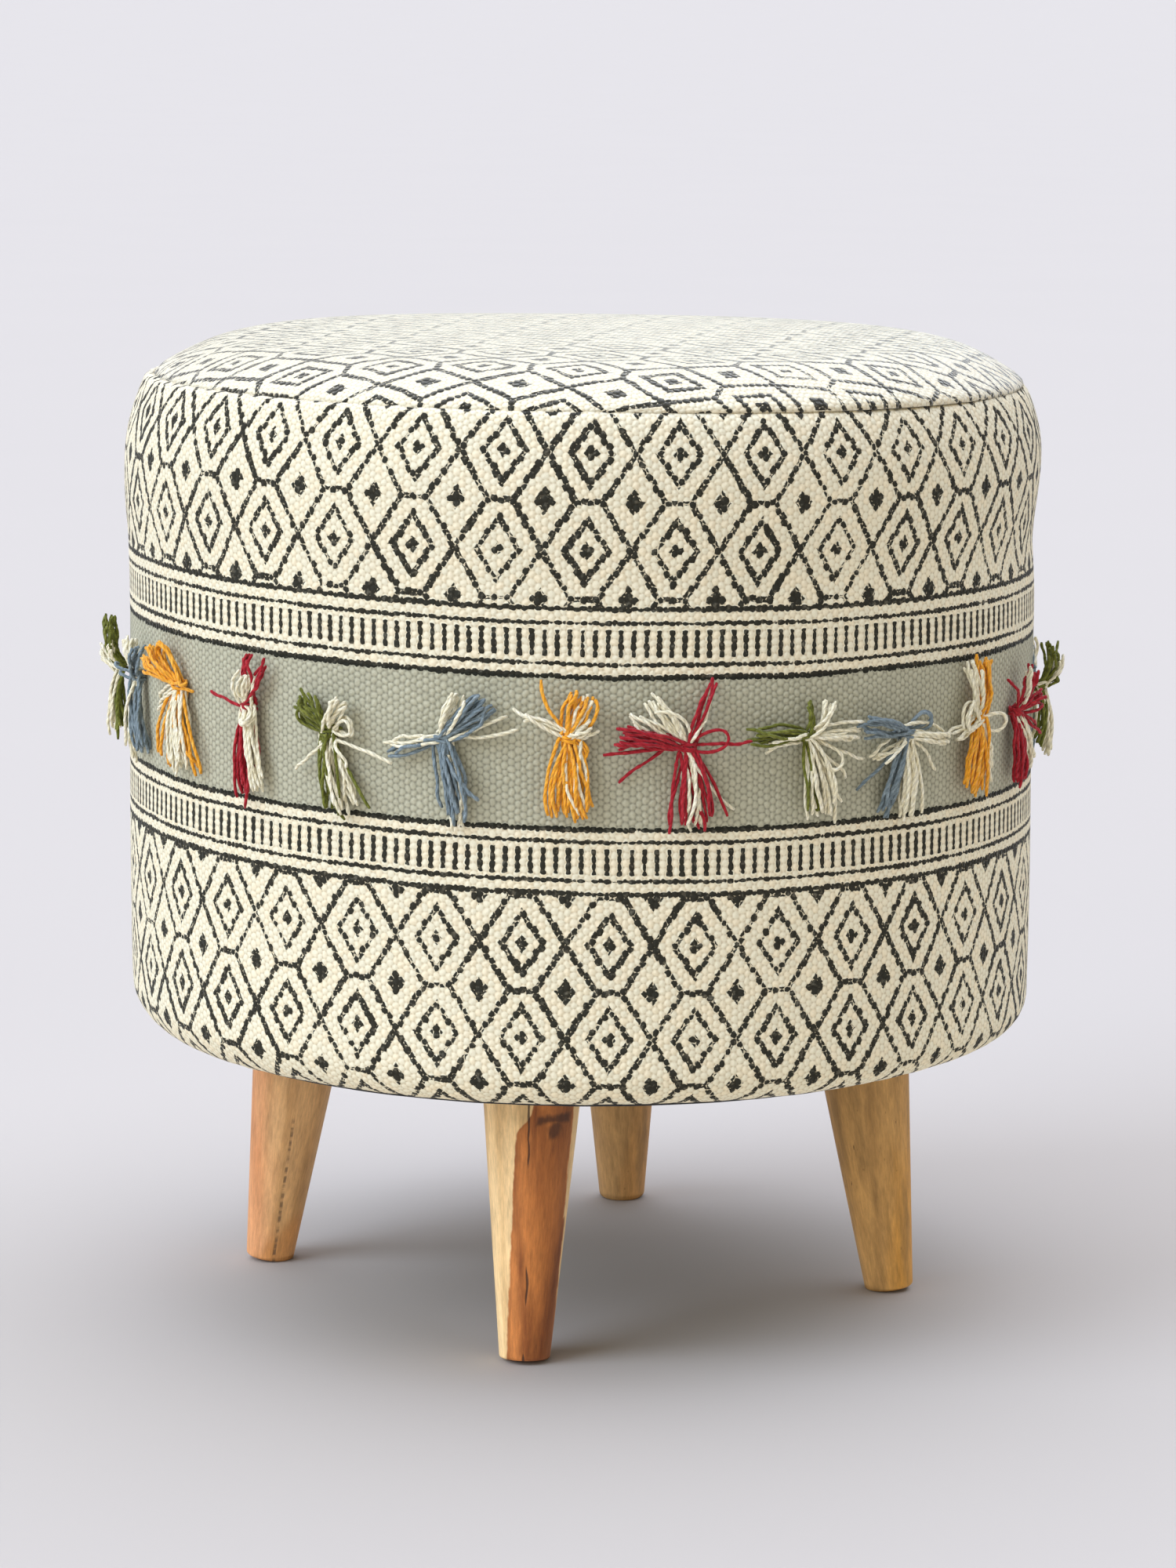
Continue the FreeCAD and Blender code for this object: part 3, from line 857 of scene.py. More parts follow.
# %% [markdown]
# Foam under a tight cover isn't a turned solid: it swells where the cover lets it. Blender's cloth can find
# that form. The pad starts a little too small, is remeshed into even cells, and is blown up by pressure
# without gravity. No point moves further than the room that the pad has, and the base stays on its board.

# %% Swollen seat pad
swell_voxel = 5 * MM
swell_most = 2.2 * MM
swell_pressure = 4
swell_frames = 20


def coordinates(mesh):
    """The points of a mesh as one array."""
    flat = np.empty(len(mesh.vertices) * 3, np.float32)
    mesh.vertices.foreach_get("co", flat)
    return flat.reshape(-1, 3).astype(float)


def baked(piece):
    """The mesh of a piece with its modifiers worked in."""
    return bpy.data.meshes.new_from_object(piece.evaluated_get(bpy.context.evaluated_depsgraph_get()))


def swell(piece, base_z):
    """Remeshes the piece and blows it up; each point's path keeps its direction and is cut at the limit."""
    even = piece.modifiers.new("even", "REMESH")
    even.mode = "VOXEL"
    even.voxel_size = swell_voxel
    finish = piece.data.materials[0]
    piece.data = baked(piece)
    piece.modifiers.clear()
    start = coordinates(piece.data)
    cloth = piece.modifiers.new("cloth", "CLOTH").settings
    cloth.use_pressure = True
    cloth.uniform_pressure_force = swell_pressure
    cloth.effector_weights.gravity = 0
    for number in range(1, swell_frames + 1):
        bpy.context.scene.frame_set(number)
    move = coordinates(baked(piece)) - start
    piece.modifiers.clear()
    bpy.context.scene.frame_set(1)
    length = np.linalg.norm(move, axis=1, keepdims=True)
    end = start + move * np.minimum(1, swell_most / np.maximum(length, 1e-9))
    end[:, 2] = np.maximum(end[:, 2], base_z)
    piece.data.vertices.foreach_set("co", end.astype(np.float32).ravel())
    piece.data.materials.clear()
    piece.data.materials.append(finish)
    piece.data.shade_smooth()
    return float(length.max())


print("seat pad swelled by", round(swell(seat_pad, foam_low.z) / MM, 1), "mm before the limit")

# %% Dust cover
dust_low, dust_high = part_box("dust_cover")
dust_thick = 0.6 * MM
dust_step = (159.6 * MM, 162.6 * MM)
dust_fold = 0.2 * MM
fold_from = 100 * MM


def add_dust_cover():
    """A disc that steps down over the hem; folds run in from the staples at its rim and die out."""
    inner, outer = np.linspace(4 * MM, dust_step[0], 40), np.linspace(dust_step[1], dust_high.x, 9)
    away = np.concatenate(([0.01 * MM], inner, outer))
    azimuth = np.linspace(-np.pi, np.pi, 220, endpoint=False)
    middle = dust_high.z - dust_thick
    level = np.where(away <= dust_step[0], middle, dust_low.z)[:, None]
    fold = 0.5 + 0.5 * ripple(azimuth, away[:, None], seed=41, waves=(24, 31, 48, 57), rise=0.3)
    rim = np.clip((away - fold_from) / (dust_high.x - fold_from), 0, 1)[:, None]
    points = round_axis(away[:, None], azimuth, level - dust_fold * fold * rim)
    piece = grid_piece("dust_sheet", points[::-1], capped=True)
    piece.data.flip_normals()
    piece.data.materials.append(felt)
    return thicken(piece, dust_thick)


dust_sheet = add_dust_cover()
stand_for("dust_cover", dust_sheet)

# %% [markdown]
# ## Boards and fittings
# The drum's boards, posts and bent wall, and all the screws, plates and staples, are right as CAD solids.
# They only need finishes: plywood with its plies, sawn batten, pressed fibreboard and zinc-plated steel.

# %% Board and steel finishes
def sheet_wood(name, pale, deep, stretch, ply_mm):
    """Straight grain along one axis, with darker plies at the edge where the board has any."""
    finish = Finish(name, 0.7)
    x, y, z = finish.object_mm()
    drawn = (x * stretch[0], y * stretch[1], z * stretch[2])
    figure = finish.noise(*drawn, size=3.0, detail=4, roughness=0.6)
    colour = finish.mixed(figure.ramp(0.3, 0.7), pale, deep)
    ply = ((z * (2 * math.pi / ply_mm)).math("SINE") * 0.5 + 0.5).ramp(0.35, 0.65)
    finish.feed(Base_Color=finish.shaded(colour, ply * 0.25 + 0.8))
    finish.bump(figure, 0.2 * MM)
    return finish.material


def steel(name, colour, roughness):
    """Zinc plate: a grey that varies in small spangles, with fine scratches."""
    finish = Finish(name, roughness, Metallic=1.0)
    x, y, z = finish.object_mm()
    spangle = finish.noise(x, y, z, size=4.0, detail=2)
    scratch = finish.noise(x * 0.2, y * 2.0, z, size=0.6, detail=2)
    finish.feed(Base_Color=finish.shaded(colour, (spangle - 0.5) * 0.35 + (scratch - 0.5) * 0.15 + 1.0))
    finish.feed(Roughness=(spangle - 0.5) * 0.3 + (scratch - 0.5) * 0.2 + roughness)
    finish.bump(scratch, 0.04 * MM)
    return finish.material


no_plies_mm = 400.0
plywood = sheet_wood("plywood", (0.60, 0.43, 0.25), (0.44, 0.29, 0.15), (0.12, 1.0, 1.0), ply_mm=3.0)
batten = sheet_wood("batten_wood", (0.66, 0.48, 0.28), (0.50, 0.32, 0.16), (1.0, 1.0, 0.08), no_plies_mm)
hardboard = sheet_wood("hardboard", (0.23, 0.13, 0.065), (0.15, 0.08, 0.04), (1.0, 1.0, 1.0), no_plies_mm)
zinc = steel("zinc_steel", (0.60, 0.61, 0.62), roughness=0.36)
leg_outward = {"right": (1, 0), "back": (0, 1), "left": (-1, 0), "front": (0, -1)}
fitted = {
    plywood: ["bottom_board", "top_board"],
    batten: [f"post_{n}" for n in range(1, 5)],
    hardboard: ["side_wall"],
    zinc: ["post_screws", "wall_nails", "hem_staples", "dust_cover_staples", "leg_plate_screws"]
    + [f"{part}_{place}" for part in ("hanger_bolt", "leg_washer", "leg_plate") for place in leg_outward],
}
for finish, names in fitted.items():
    for name in names:
        for place in nodes[name].material_slots:
            place.material = finish
print({finish.name: len(names) for finish, names in fitted.items()})

# %% [markdown]
# ## Legs
# The legs are turned from one rough billet each, waxed and not stained, so no two match. The front one has
# pale sapwood on its left, red heartwood, a knot and a crack. The left one has a dashed bark streak. The CAD
# shape is right. The grain is a formula in the leg's own coordinates, so that it runs down its length.

# %% Leg coordinates and grain
leg_slope = math.tan(math.radians(7.3))
leg_circle_mm = 142
leg_half_mm = (10.7, 21.0)


class Leg:
    """A leg's finish and coordinates: across it and down it, and shares of its half width to the right."""

    def __init__(self, place):
        self.finish = Finish(place + "_leg_wood", 0.6, Specular_IOR_Level=0.3)
        x, y, self.z = self.finish.object_mm()
        middle = leg_circle_mm - self.z * leg_slope
        self.x, self.y = x - middle * leg_outward[place][0], y - middle * leg_outward[place][1]
        self.half = self.z * ((leg_half_mm[1] - leg_half_mm[0]) / (body_bottom / MM)) + leg_half_mm[0]
        turn_x, turn_y = math.cos(camera_azimuth), math.sin(camera_azimuth)
        self.side = (self.x * turn_x + self.y * turn_y) / self.half
        forwards = (self.x * turn_y - self.y * turn_x) / self.half
        self.facing = forwards.ramp(-0.05, 0.15)
        self.wander = self.noise(0.25, size=14, detail=3) - 0.5
        self.rough = self.noise(0.5, size=3.0, detail=3) - 0.5

    def noise(self, draw, shift_mm=0.0, **shape):
        """Soft noise, drawn out down the leg where draw is small; each shift is another pattern."""
        return self.finish.noise(self.x + shift_mm, self.y, self.z * draw, **shape)

    def stripe(self, place, half_mm):
        """A line down the viewer's side of the leg, at a share of its width."""
        reach = abs(self.side - place) * self.half
        return (half_mm - reach + self.rough * 0.5).ramp(-0.15, 0.25) * self.facing


def grain(leg, pale, deep, pith_mm, ring_mm):
    """Rings about a pith line beside the leg, long streaks and slow blotches, between two colours."""
    across, away = leg.x - pith_mm[0] + leg.wander * 9.0, leg.y - pith_mm[1] + leg.wander * 6.0
    ring = ((far(across, away) * (2 * math.pi / ring_mm)).math("SINE") * 0.5 + 0.5).power(1.6)
    streak = leg.noise(0.07, size=2.2, detail=4, roughness=0.65)
    tone = (ring * 0.35 + streak * 0.7 + leg.wander * 1.0 - 0.05).ramp(0.1, 1.0)
    return leg.finish.mixed(tone, pale, deep)


def wax(leg, colour, dark):
    """Feeds the shader: pores, flecks and mottling shade the colour, and dark marks sink into the wax."""
    pores = leg.noise(0.03, size=0.55, detail=2)
    fleck = leg.noise(0.18, shift_mm=40, size=1.3, detail=4, roughness=0.7)
    mottle = leg.noise(0.3, shift_mm=90, size=6.0, detail=4) - 0.5
    shade = (pores - 0.5) * 0.4 + (fleck - 0.5) * 0.8 + mottle * 0.7 + 1.0
    leg.finish.feed(Base_Color=leg.finish.shaded(colour, shade), Roughness=(pores - 0.5) * 0.3 + 0.62)
    leg.finish.bump(pores * 0.4 + fleck * 0.3 - dark, 0.3 * MM)
    return leg.finish.material


print("legs splay", round(math.degrees(math.atan(leg_slope)), 1), "degrees")

# %% Front leg wood
knot_bar_mm = (103, 107.5)
knot_eye_mm = 101
heart_top_mm = (98, 109)
heart_edge_brown = (0.25, 0.075, 0.02)
heart_shadow = (0.15, 0.045, 0.013)
knot_brown = (0.07, 0.026, 0.011)
crack_black = (0.03, 0.013, 0.007)


def knot_amount(leg):
    """A short dark bar across the heartwood, and a round eye under it."""
    across = lowest((leg.side - 0.1) * leg.half, (0.85 - leg.side) * leg.half)
    bar = lowest(knot_bar_mm[1] - leg.z, leg.z - knot_bar_mm[0], across)
    eye = 1.0 - far((leg.side - 0.52) * leg.half / 3.2, (leg.z - knot_eye_mm) / 4.6)
    return (highest(bar * 0.7, eye * 2.2) + leg.rough * 2.6 + leg.wander).ramp(-0.5, 1.2) * leg.facing


def crack_amount(leg):
    """A swaying line that gapes under the drum, again below the middle, and at the foot."""
    sway = leg.finish.noise(leg.z, 0.0, 4.0, size=22, detail=2) - 0.5
    gape = highest((leg.z - 82).ramp(0, 8), (12 - abs(leg.z - 35)).ramp(0, 8), (7 - leg.z).ramp(0, 4))
    return leg.stripe(sway * 0.25 - 0.03, gape * 0.7 - 0.22)


def front_leg_wood():
    """Sapwood and heartwood parted by leaning planes, with a knot and a crack in the heartwood."""
    leg = Leg("front")
    mixed = leg.finish.mixed
    sap = grain(leg, (0.88, 0.61, 0.295), (0.64, 0.40, 0.165), pith_mm=(50, -60), ring_mm=12)
    heart = grain(leg, (0.60, 0.21, 0.048), (0.20, 0.054, 0.011), pith_mm=(34, -50), ring_mm=8)
    left = (leg.side - leg.z * 0.0038 + 0.68 - leg.z.ramp(*heart_top_mm) * 0.3) * leg.half
    right = (1.02 - leg.z * 0.0011 - leg.side) * leg.half
    inside = lowest(left, right) + leg.wander * 3.0 + leg.rough * 1.6
    colour = mixed(inside.ramp(-0.35, 0.45), sap, heart)
    edge = (1.0 - abs(inside - 0.5)).ramp(0.0, 1.0)
    colour = mixed(edge * 0.35, colour, heart_edge_brown)
    # painted shade: the heartwood darkens towards the leg's right side, away from the light
    painted_shade_right = leg.side.ramp(0.1, 0.95) * inside.ramp(0.0, 1.0)
    colour = mixed(painted_shade_right * 0.6, colour, heart_shadow)
    knot, crack = knot_amount(leg), crack_amount(leg)
    colour = mixed(knot * 0.85, colour, knot_brown)
    colour = mixed(crack * 0.85, colour, crack_black)
    return wax(leg, colour, crack * 0.6 + knot * 0.2)


leg_woods = {"front": front_leg_wood()}
print("front leg", leg_woods["front"].name)

# %% Left, right and back leg woods
foot_red = (0.56, 0.24, 0.065)
bark_brown = (0.13, 0.075, 0.038)
fleck_brown = (0.09, 0.045, 0.015)


def left_leg_wood():
    """Honey wood, pinker on its left and redder at the foot, with a dashed dark streak down the middle."""
    leg = Leg("left")
    mixed = leg.finish.mixed
    honey = grain(leg, (0.68, 0.39, 0.163), (0.475, 0.255, 0.094), pith_mm=(-40, -30), ring_mm=11)
    pink = grain(leg, (0.67, 0.30, 0.124), (0.50, 0.19, 0.069), pith_mm=(-30, -44), ring_mm=9)
    inside = (60 - leg.z) * 0.006 - 0.35 - leg.side + leg.wander * 0.9
    colour = mixed(inside.ramp(-0.3, 0.45) * 0.85, honey, pink)
    foot = (16 - leg.z) * 0.06 + leg.side * 0.8 - 0.1 + leg.wander
    colour = mixed(foot.ramp(0.0, 0.7) * 0.7, colour, foot_red)
    dash = leg.finish.noise(leg.z, leg.side * 2.0, 2.0, size=2.4, detail=3).ramp(0.36, 0.62)
    below = (72 - leg.z).ramp(0, 6)
    streak = leg.stripe(leg.wander * 0.12 + 0.2, 0.7) * dash * below
    colour = mixed(streak * 0.75, colour, bark_brown)
    return wax(leg, colour, streak * 0.4)


def plain_leg_wood(place, pale, deep, warm, pith_mm):
    """Mottled wood that warms towards one side and the foot, with dull streaks and a few dark flecks."""
    leg = Leg(place)
    mixed = leg.finish.mixed
    colour = grain(leg, pale, deep, pith_mm, ring_mm=10)
    gold = leg.side * 0.8 - leg.z * 0.008 + 0.35 + leg.wander * 1.2
    colour = mixed(gold.ramp(0.0, 0.9) * 0.7, colour, warm)
    dull = leg.noise(0.12, shift_mm=150, size=7.0, detail=3).ramp(0.45, 0.68)
    colour = mixed(dull * 0.6, colour, tuple(0.45 * part for part in pale))
    fleck = leg.noise(0.35, shift_mm=310, size=2.4, detail=2).ramp(0.70, 0.78)
    colour = mixed(fleck * 0.8, colour, fleck_brown)
    return wax(leg, colour, fleck * 0.3)


right_colours = (0.575, 0.318, 0.1), (0.365, 0.196, 0.059), (0.67, 0.315, 0.047)
back_colours = (0.505, 0.287, 0.104), (0.352, 0.193, 0.067), (0.525, 0.258, 0.073)
leg_woods["left"] = left_leg_wood()
leg_woods["right"] = plain_leg_wood("right", *right_colours, pith_mm=(40, 20))
leg_woods["back"] = plain_leg_wood("back", *back_colours, pith_mm=(20, 40))
for place, finish in leg_woods.items():
    nodes["leg_" + place].material_slots[0].material = finish
print("legs", sorted(leg_woods))

# %% [markdown]
# ## Tassels
# Each tassel is a hank of two-ply yarn, pulled through the band and bound round its waist, so the short ends
# stand up as a tuft and the long ends hang. One hank mixes a dyed yarn with a cream one. A particle system
# would comb them all alike. Here every bundle of strands is described by where its tips lie, as seen on the
# real tassels, and each strand is one bent tube with the twist of its two plies drawn on it.

# %% Yarn finish
twist_mm = 3.6


def yarn(name, colour, paler_tone):
    """Wool: two wound plies, painted shade in their grooves, dye varying along the strand, paler worn
    fibres.
    """
    finish = Finish(name, 0.9, Sheen_Weight=0.15, Sheen_Roughness=0.4, Specular_IOR_Level=0.25)
    around, run = finish.cloth_mm()
    x, y, z = finish.object_mm()
    ply = (((around * 2 + run / twist_mm) * (2 * math.pi)).cosine() * 0.5 + 0.5).power(0.6)
    fleck = finish.noise(x, y, z, size=2.6, detail=3)
    fibre = finish.noise(x, y, z, size=0.3, detail=2)
    shade = finish.mixed((fleck + (fibre - 0.5) * 0.5).ramp(0.42, 0.80), colour, paler_tone)
    # painted shade: the grooves between the two plies are darkened in the colour
    finish.feed(Base_Color=finish.shaded(shade, ply * 0.3 + (fibre - 0.5) * 0.5 + 0.8))
    finish.bump(ply * 0.7 + fibre * 0.3, 0.35 * MM)
    return finish.material


yarns = {
    "cream": yarn("cream_yarn", (0.77, 0.70, 0.48), (0.90, 0.86, 0.69)),
    "mustard": yarn("mustard_yarn", (0.78, 0.33, 0.02), (0.88, 0.47, 0.075)),
    "red": yarn("red_yarn", (0.33, 0.010, 0.018), (0.45, 0.030, 0.035)),
    "green": yarn("green_yarn", (0.115, 0.125, 0.016), (0.235, 0.245, 0.045)),
    "blue": yarn("blue_yarn", (0.160, 0.205, 0.22), (0.27, 0.325, 0.335)),
}
print("yarns", sorted(yarns))

# %% [markdown]
# A bundle is written as: which yarn, how many strands, where their tips lie from the knot, in millimetres to
# the right, up, and out from the cloth, and how far the tips fan apart. A loop comes back to the knot, and
# its last number is how wide it opens. The tassels in view, and one more at each edge, have bundles of their
# own. Those behind reuse them, mirrored and stirred a little.

# %% Bundles of strands
D, C, DL, CL = "dyed", "cream", "dyed loop", "cream loop"
bundles = {
    8: [(D, 9, 2, 20, 9, 8), (C, 7, -8, 8, 10, 7), (C, 4, 6, 11, 8, 6), (D, 7, 2, -28, 4, 6),
        (C, 6, -3, -27, 6, 6)],
    9: [(D, 6, 9, 14, 6, 5), (C, 6, -3, 16, 7, 5), (D, 2, -14, 4, 8, 4), (D, 9, 8, -32, 4, 7),
        (C, 6, -3, -33, 5, 5)],
    10: [(D, 8, -21, 14, 7, 6), (D, 5, -28, 9, 7, 5), (D, 2, 12, 2, 7, 3), (DL, 3, -13, 15, 7, 7),
        (C, 3, -20, -10, 4, 5), (C, 10, 3, -34, 5, 12), (D, 8, -9, -32, 4, 8), (D, 3, 15, -35, 4, 4)],
    11: [(D, 4, 1, 21, 5, 4), (D, 3, 9, 18, 5, 3), (C, 9, 2, 14, 6, 5), (D, 1, -23, 7, 5, 0),
        (CL, 3, 4, -6, 7, 8), (D, 10, -4, -35, 4, 5), (C, 9, 7, -33, 5, 6), (DL, 1, 4, -24, 6, 7)],
    12: [(D, 10, -11, 14, 6, 8), (DL, 4, -11, 8, 7, 8), (C, 8, 7, 14, 6, 7), (C, 1, 28, -7, 4, 0),
        (CL, 2, 13, 4, 7, 7), (C, 1, 13, -11, 8, 0), (C, 1, -16, -17, 3, 0), (D, 10, 3, -31, 4, 6),
        (D, 1, 21, -30, 4, 0), (C, 9, 10, -29, 5, 9)],
    13: [(D, 11, 17, 17, 7, 8), (C, 6, 7, 18, 6, 6), (C, 2, 27, 10, 4, 6), (C, 3, -21, -2, 5, 3),
        (D, 3, -23, -5, 5, 3), (D, 13, 6, -31, 4, 8), (D, 2, 13, -24, 6, 2), (C, 4, 7, -33, 4, 6)],
    14: [(D, 1, -11, 22, 3, 0), (C, 3, -20, 11, 4, 3), (D, 11, 5, 18, 6, 9), (C, 4, 7, 18, 5, 4),
        (C, 5, 9, 6, 7, 6), (D, 17, 0, -32, 5, 18), (C, 7, 4, -31, 4, 7), (DL, 2, 5, -9, 7, 7)],
    15: [(C, 12, -18, 18, 6, 14), (D, 12, -26, 8, 7, 7), (D, 2, -30, 1, 4, 2), (D, 1, -26, -12, 3, 0),
        (D, 3, 10, 27, 5, 3), (C, 1, 11, 25, 4, 0), (DL, 1, 16, 4, 8, 9), (D, 1, 25, 4, 7, 0),
        (D, 13, 4, -30, 5, 16), (C, 5, 3, -32, 4, 6), (C, 1, 21, -27, 3, 0)],
    16: [(D, 9, -25, 4, 6, 7), (C, 3, -19, -1, 6, 3), (D, 3, 0, 14, 6, 4), (C, 6, 8, 15, 6, 5),
        (C, 5, 24, 3, 6, 5), (C, 1, 26, -8, 4, 0), (CL, 1, 13, -13, 7, 8), (C, 13, 7, -31, 5, 12),
        (C, 1, 20, -20, 4, 0), (D, 6, 2, -29, 3, 6)],
    17: [(D, 9, -24, 9, 7, 7), (DL, 2, 10, 7, 8, 8), (C, 8, 21, -2, 6, 6), (C, 4, -18, -7, 5, 5),
        (D, 1, -24, -19, 3, 0), (C, 10, 1, -33, 5, 10), (D, 8, -12, -31, 4, 7), (C, 1, 19, -16, 5, 0)],
    18: [(C, 6, -8, 24, 5, 4), (D, 11, 1, 25, 5, 8), (CL, 3, -13, 3, 7, 11), (CL, 1, 11, -2, 8, 9),
        (C, 3, -18, -4, 5, 4), (D, 15, -3, -29, 5, 20), (C, 6, 9, -28, 4, 5)],
    19: [(D, 1, -13, 16, 4, 0), (D, 9, 10, 17, 8, 10), (D, 6, 15, 6, 9, 6), (D, 2, 20, -9, 9, 2),
        (C, 3, 6, 18, 7, 5), (D, 12, 1, -29, 5, 9), (C, 7, 14, -24, 6, 6)],
    20: [(C, 9, 4, 12, 11, 9), (D, 6, -6, 18, 9, 6), (D, 4, 6, 20, 6, 6), (D, 2, 0, 5, 12, 3),
        (C, 10, 2, -28, 6, 8), (D, 5, -4, -24, 5, 5)],
}
bundles[7] = [(D, 7, -12, 14, 4, 9), (C, 6, -4, 15, 4, 6), (C, 5, -18, 6, 4, 6), (D, 9, -3, -32, 3, 9),
    (C, 7, 4, -30, 3, 7)]
bundles[21] = [(kind, count, -right, *rest) for kind, count, right, *rest in bundles[7]]
tassel_count = 26
front_tassel = 14
tassel_dyes = ("mustard", "red", "green", "blue")
knot_z = 274 * MM
knot_shift_mm = {
    7: (-8, 0), 8: (3, 0), 9: (5, 3), 10: (2.8, 6), 11: (3.2, 4), 12: (-3.4, -2), 13: (-0.8, 0),
    14: (1.8, 2.5), 15: (0.5, -1), 16: (4, 1.5), 17: (5.4, -1), 18: (5, 0.5), 19: (-4.4, -1), 20: (0, 2),
    21: (8, 0),
}
print("bundles for", len(bundles), "tassels")

# %% [markdown]
# A strand leaves the knot, bows out from the cloth and falls to its tip, with a few slow kinks. The lines
# of all strands of a bundle are worked out at once, as one array. The same seed each run keeps them alike.

# %% Strand lines
steps = 26
strand_radius = 0.72
hank_out = 3.6
fullness = 1.35
tassel_seed = 700


def strand_lines(bundle, rng, mirror):
    """Lines from the knot to each tip: a bowed curve of the second degree, or a loop; slow random kinks."""
    kind, count, right, up, out, fan = bundle
    count = round(count * fullness) if count > 2 else count
    reach = math.hypot(right, up)
    across = np.array((-up, 0.0, right)) / reach
    spread = np.linspace(-0.5, 0.5, count)[:, None] if count > 1 else np.zeros((1, 1))
    spread = spread + rng.normal(0, 0.12, (count, 1))
    fanned = 0 if "loop" in kind else fan
    tip = np.array((right, out, up)) * rng.normal(1, 0.07, (count, 1)) + spread * fanned * across
    tip[:, 1] = np.clip(out + rng.normal(0, 1.5, count), 0.9, None)
    start = rng.normal(0, 1, (count, 3)) * (1.8, 1.2, 1.3) + (0, hank_out, 0)
    bow = rng.normal(0, 0.10, (count, 1)) * reach + spread * fanned * 0.35
    middle = 0.45 * (start + tip) + bow * across
    middle[:, 1] = np.maximum(start[:, 1], tip[:, 1]) + 0.6 + rng.uniform(0, 4.0, count)
    t = np.linspace(0, 1, steps)[None, :, None]
    if "loop" in kind:
        open_by = fan * rng.uniform(0.7, 1.2, (count, 1, 1)) * np.sin(2 * np.pi * t) * across * 0.5
        line = start[:, None] + (tip - start)[:, None] * np.sin(np.pi * t) + open_by
    else:
        line = (1 - t) ** 2 * start[:, None] + 2 * t * (1 - t) * middle[:, None] + t ** 2 * tip[:, None]
        line[..., 2] -= 0.10 * abs(right) * t[..., 0] ** 2 * (up > -abs(right))
    for waves in (1.3, 2.7):
        turn = rng.uniform(0, 2 * np.pi, (count, 1, 3))
        size = rng.uniform(0.25, 1.0, (count, 1, 3)) / waves
        line = line + size * np.sin(2 * np.pi * waves * t + turn) * t
    line[..., 1] = np.maximum(line[..., 1], strand_radius + 0.1)
    line[..., 0] *= mirror
    return line


def knot_line(rng):
    """A strand wound two and a half times round the waist of the hank."""
    turn = np.linspace(0, 5 * np.pi, steps * 2) + rng.uniform(0, 2 * np.pi)
    rise = np.linspace(-1.9, 1.9, steps * 2) + 0.5 * np.sin(turn * 0.7)
    line = np.stack((3.3 * np.cos(turn), hank_out + 2.7 * np.sin(turn), rise), axis=-1)
    return np.stack((line[:steps], line[steps - 1:-1]))


print("strand lines of", steps, "points")

# %% [markdown]
# A tube of rings follows each line. The tubes carry flat coordinates, once round and along in millimetres,
# so that the yarn's twist can be drawn on them. Last, the tassel is bent onto the round wall.

# %% Strand tubes
sides = 6


def strand_tubes(lines, rng):
    """Rings about each line, a little uneven, thinner at the ends; also the length run to each ring."""
    tangent = np.gradient(lines, axis=1)
    step = np.linalg.norm(tangent, axis=2, keepdims=True)
    tangent = tangent / step
    side = np.cross(tangent, (0.13, 0.98, 0.17))
    side /= np.linalg.norm(side, axis=2, keepdims=True)
    over = np.cross(tangent, side)
    run = np.cumsum(step, axis=1)[..., 0]
    t = np.linspace(0, 1, steps)[None, :]
    radius = strand_radius * (1 + 0.10 * rng.normal(0, 1, run.shape))
    radius = radius * np.clip(np.minimum(t, 1 - t) * steps, 0.72, 1)
    ring = np.linspace(0, 2 * np.pi, sides, endpoint=False)
    around = np.cos(ring)[:, None] * side[:, :, None] + np.sin(ring)[:, None] * over[:, :, None]
    return lines[:, :, None] + radius[..., None, None] * around, run


def tube_mesh(name, points, run):
    """Quads between neighbouring rings with flat coordinates, and one face over each end."""
    count = len(points)
    number = np.arange(count * steps * sides).reshape(count, steps, sides)
    nextward = np.roll(number, -1, axis=2)
    quads = np.stack((number[:, :-1], number[:, 1:], nextward[:, 1:], nextward[:, :-1]), axis=-1)
    ends = np.concatenate((number[:, 0], number[:, -1, ::-1]))
    mesh = bpy.data.meshes.new(name)
    mesh.from_pydata(points.reshape(-1, 3), [], quads.reshape(-1, 4).tolist() + ends.tolist())
    start = np.broadcast_to(np.arange(sides) / sides, (count, steps - 1, sides))
    low, high = (np.broadcast_to(part[..., None], start.shape) for part in (run[:, :-1], run[:, 1:]))
    u = np.stack((start, start, start + 1 / sides, start + 1 / sides), axis=-1)
    v = np.stack((low, high, high, low), axis=-1)
    flat = np.stack((u, v), axis=-1).reshape(-1, 2) * MM
    flat = np.vstack((flat, np.zeros((ends.size, 2))))
    mesh.uv_layers.new(name="cloth").data.foreach_set("uv", flat.astype(np.float32).ravel())
    mesh.shade_smooth()
    return mesh


def on_band(points, azimuth):
    """Lays points given in millimetres right, out and up from a knot onto the round wall."""
    right, out, up = np.moveaxis(points * MM, -1, 0)
    return round_axis(body_radius + out, azimuth + right / body_radius, knot_z + panel_skew(azimuth) + up)


print("tubes of", steps, "rings with", sides, "sides")

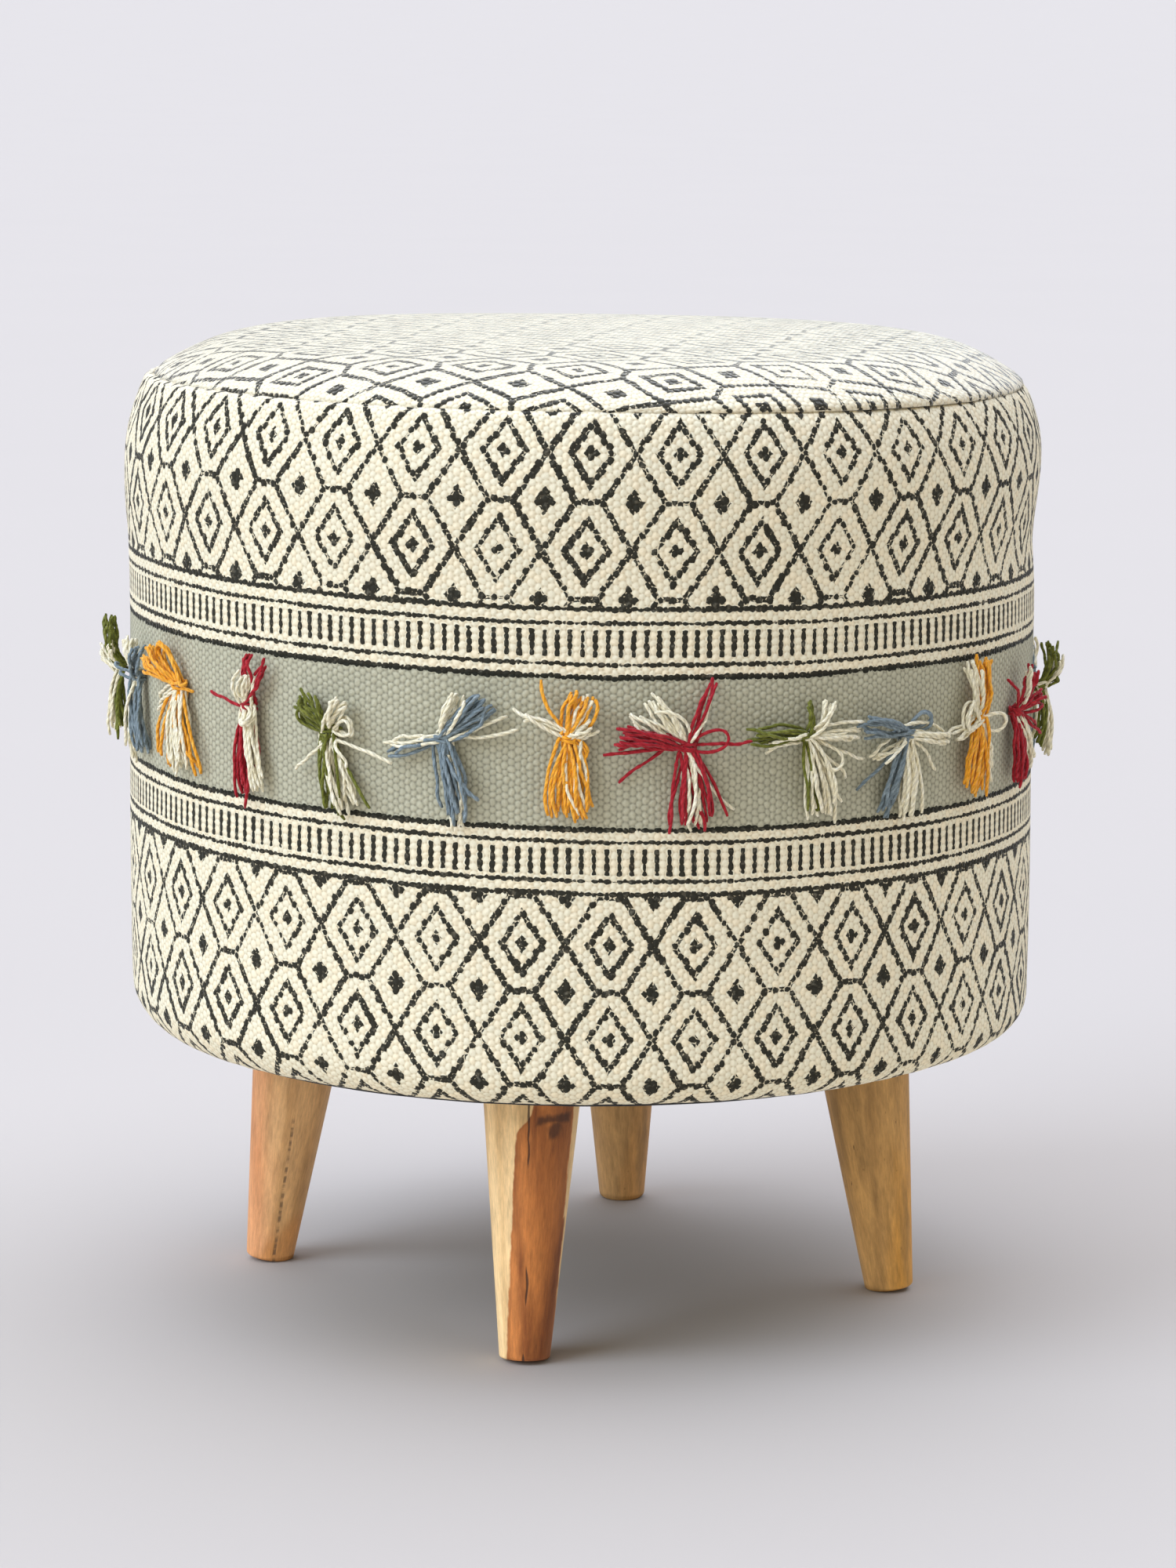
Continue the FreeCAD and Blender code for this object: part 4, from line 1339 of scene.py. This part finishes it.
# %% Tassels
def add_tassel(number):
    """All strands of one tassel as one mesh; the first material is dyed yarn, the second cream."""
    own = number in bundles
    pattern = number if own else 12 + (number - 8) % 4 + 4 * (number % 2)
    rng = np.random.default_rng(tassel_seed + number)
    mirror = 1 if own else -1
    groups = [(b[0], strand_lines(b, rng, mirror)) for b in bundles[pattern]]
    groups.append((D, knot_line(rng)))
    tubes = [strand_tubes(lines, rng) for _, lines in groups]
    shift = knot_shift_mm.get(number, (0, 0))
    points = np.concatenate([tube for tube, _ in tubes]) + (shift[0], 0, shift[1])
    run = np.concatenate([length for _, length in tubes])
    azimuth = (number - front_tassel + 0.5) * 2 * math.pi / tassel_count
    mesh = tube_mesh(f"yarn_tassel_{number:02d}", on_band(points, azimuth), run)
    dye = tassel_dyes[(number - front_tassel) % 4]
    mesh.materials.append(yarns[dye])
    mesh.materials.append(yarns["cream"])
    of_tube = np.concatenate([np.full(len(lines), int(C in kind)) for kind, lines in groups])
    per_quad = np.repeat(of_tube, (steps - 1) * sides)
    of_face = np.concatenate((per_quad, of_tube, of_tube))
    mesh.polygons.foreach_set("material_index", of_face.astype(np.int32))
    stand_for(f"tassel_{number:02d}", added(mesh.name, mesh))
    return len(mesh.polygons)


faces = [add_tassel(number) for number in range(1, tassel_count + 1)]
print(tassel_count, "tassels,", sum(faces), "faces")

# %% [markdown]
# ## Stage and light
# The backdrop of a product photo is a pale paper sweep. Here a floor as wide as a hall does its work: it is
# level under the ottoman, rises gently far away and fills the picture.

# %% Floor
floor_colour = (0.470, 0.424, 0.366)
floor_reach = 90.0
floor_level_reach = 12.0
floor_rise = 2.5
floor_drop = 0.2 * MM


def add_floor():
    """A level floor that rises gently, by the square of the distance, far from the object."""
    away = np.concatenate(([0.001], np.linspace(2.0, floor_reach, 60)))
    angle = np.linspace(0, 2 * np.pi, 96, endpoint=False)
    share = np.clip((away - floor_level_reach) / (floor_reach - floor_level_reach), 0, 1)
    points = round_axis(away[:, None], angle, (share ** 2 * floor_rise - floor_drop)[:, None])
    floor = grid_piece("floor", points[::-1], capped=True)
    finish = Finish("studio_floor", 0.9)
    x, y, _ = finish.object_mm()
    patch = finish.noise(x, y, size=400, detail=2) - 0.5
    finish.feed(Base_Color=finish.shaded(floor_colour, patch * 0.02 + 1.0))
    floor.data.materials.append(finish.material)
    return floor


print("floor of", len(add_floor().data.polygons), "faces")

# %% [markdown]
# Parallel light falls evenly on the whole floor, so the background stays plain. A soft sun shines from the
# upper left, a wider one from above and behind, and a weak warm one from the front. A round light on the
# floor stands in for a white card under the drum. The sky is even.

# %% Lights
bounce_height = 2 * MM


def add_sun(name, azimuth, elevation, spread, strength, colour):
    """Soft parallel light; azimuth 0 shines from where the camera stands, spread is the sun's width."""
    data = bpy.data.lights.new(name, "SUN")
    data.angle = math.radians(spread)
    data.energy = strength
    data.color = colour
    light = added(name, data)
    a, e = math.radians(azimuth) + camera_azimuth, math.radians(elevation)
    aim = Vector((math.sin(a) * math.cos(e), -math.cos(a) * math.cos(e), math.sin(e)))
    light.matrix_world = Matrix.Translation(aim * 3) @ aim.to_track_quat("Z", "Y").to_matrix().to_4x4()


def add_bounce(width, power):
    """A round soft light that lies on the floor under the drum and shines up, as a white card would."""
    data = bpy.data.lights.new("bounce", "AREA")
    data.shape = "DISK"
    data.size = width
    data.energy = power
    light = added("bounce", data)
    light.matrix_world = Matrix.Translation((0, 0, bounce_height)) @ Matrix.Rotation(math.pi, 4, "X")
    light.visible_camera = False


add_bounce(width=1.6, power=1.6)
add_sun("key", azimuth=-62, elevation=32, spread=40, strength=1.88, colour=(0.87, 1.03, 1.34))
add_sun("top", azimuth=175, elevation=74, spread=90, strength=3.05, colour=(0.95, 1.06, 1.38))
add_sun("fill", azimuth=-24, elevation=0, spread=60, strength=0.95, colour=(1.0, 0.955, 0.86))
world = bpy.data.worlds.new("studio")
world.use_nodes = True
sky = world.node_tree.nodes["Background"].inputs
sky["Color"].default_value = (1.0, 0.955, 0.885, 1.0)
sky["Strength"].default_value = 0.43
bpy.context.scene.world = world
bpy.context.scene.view_settings.view_transform = "Standard"
print("lights", len(bpy.data.lights))
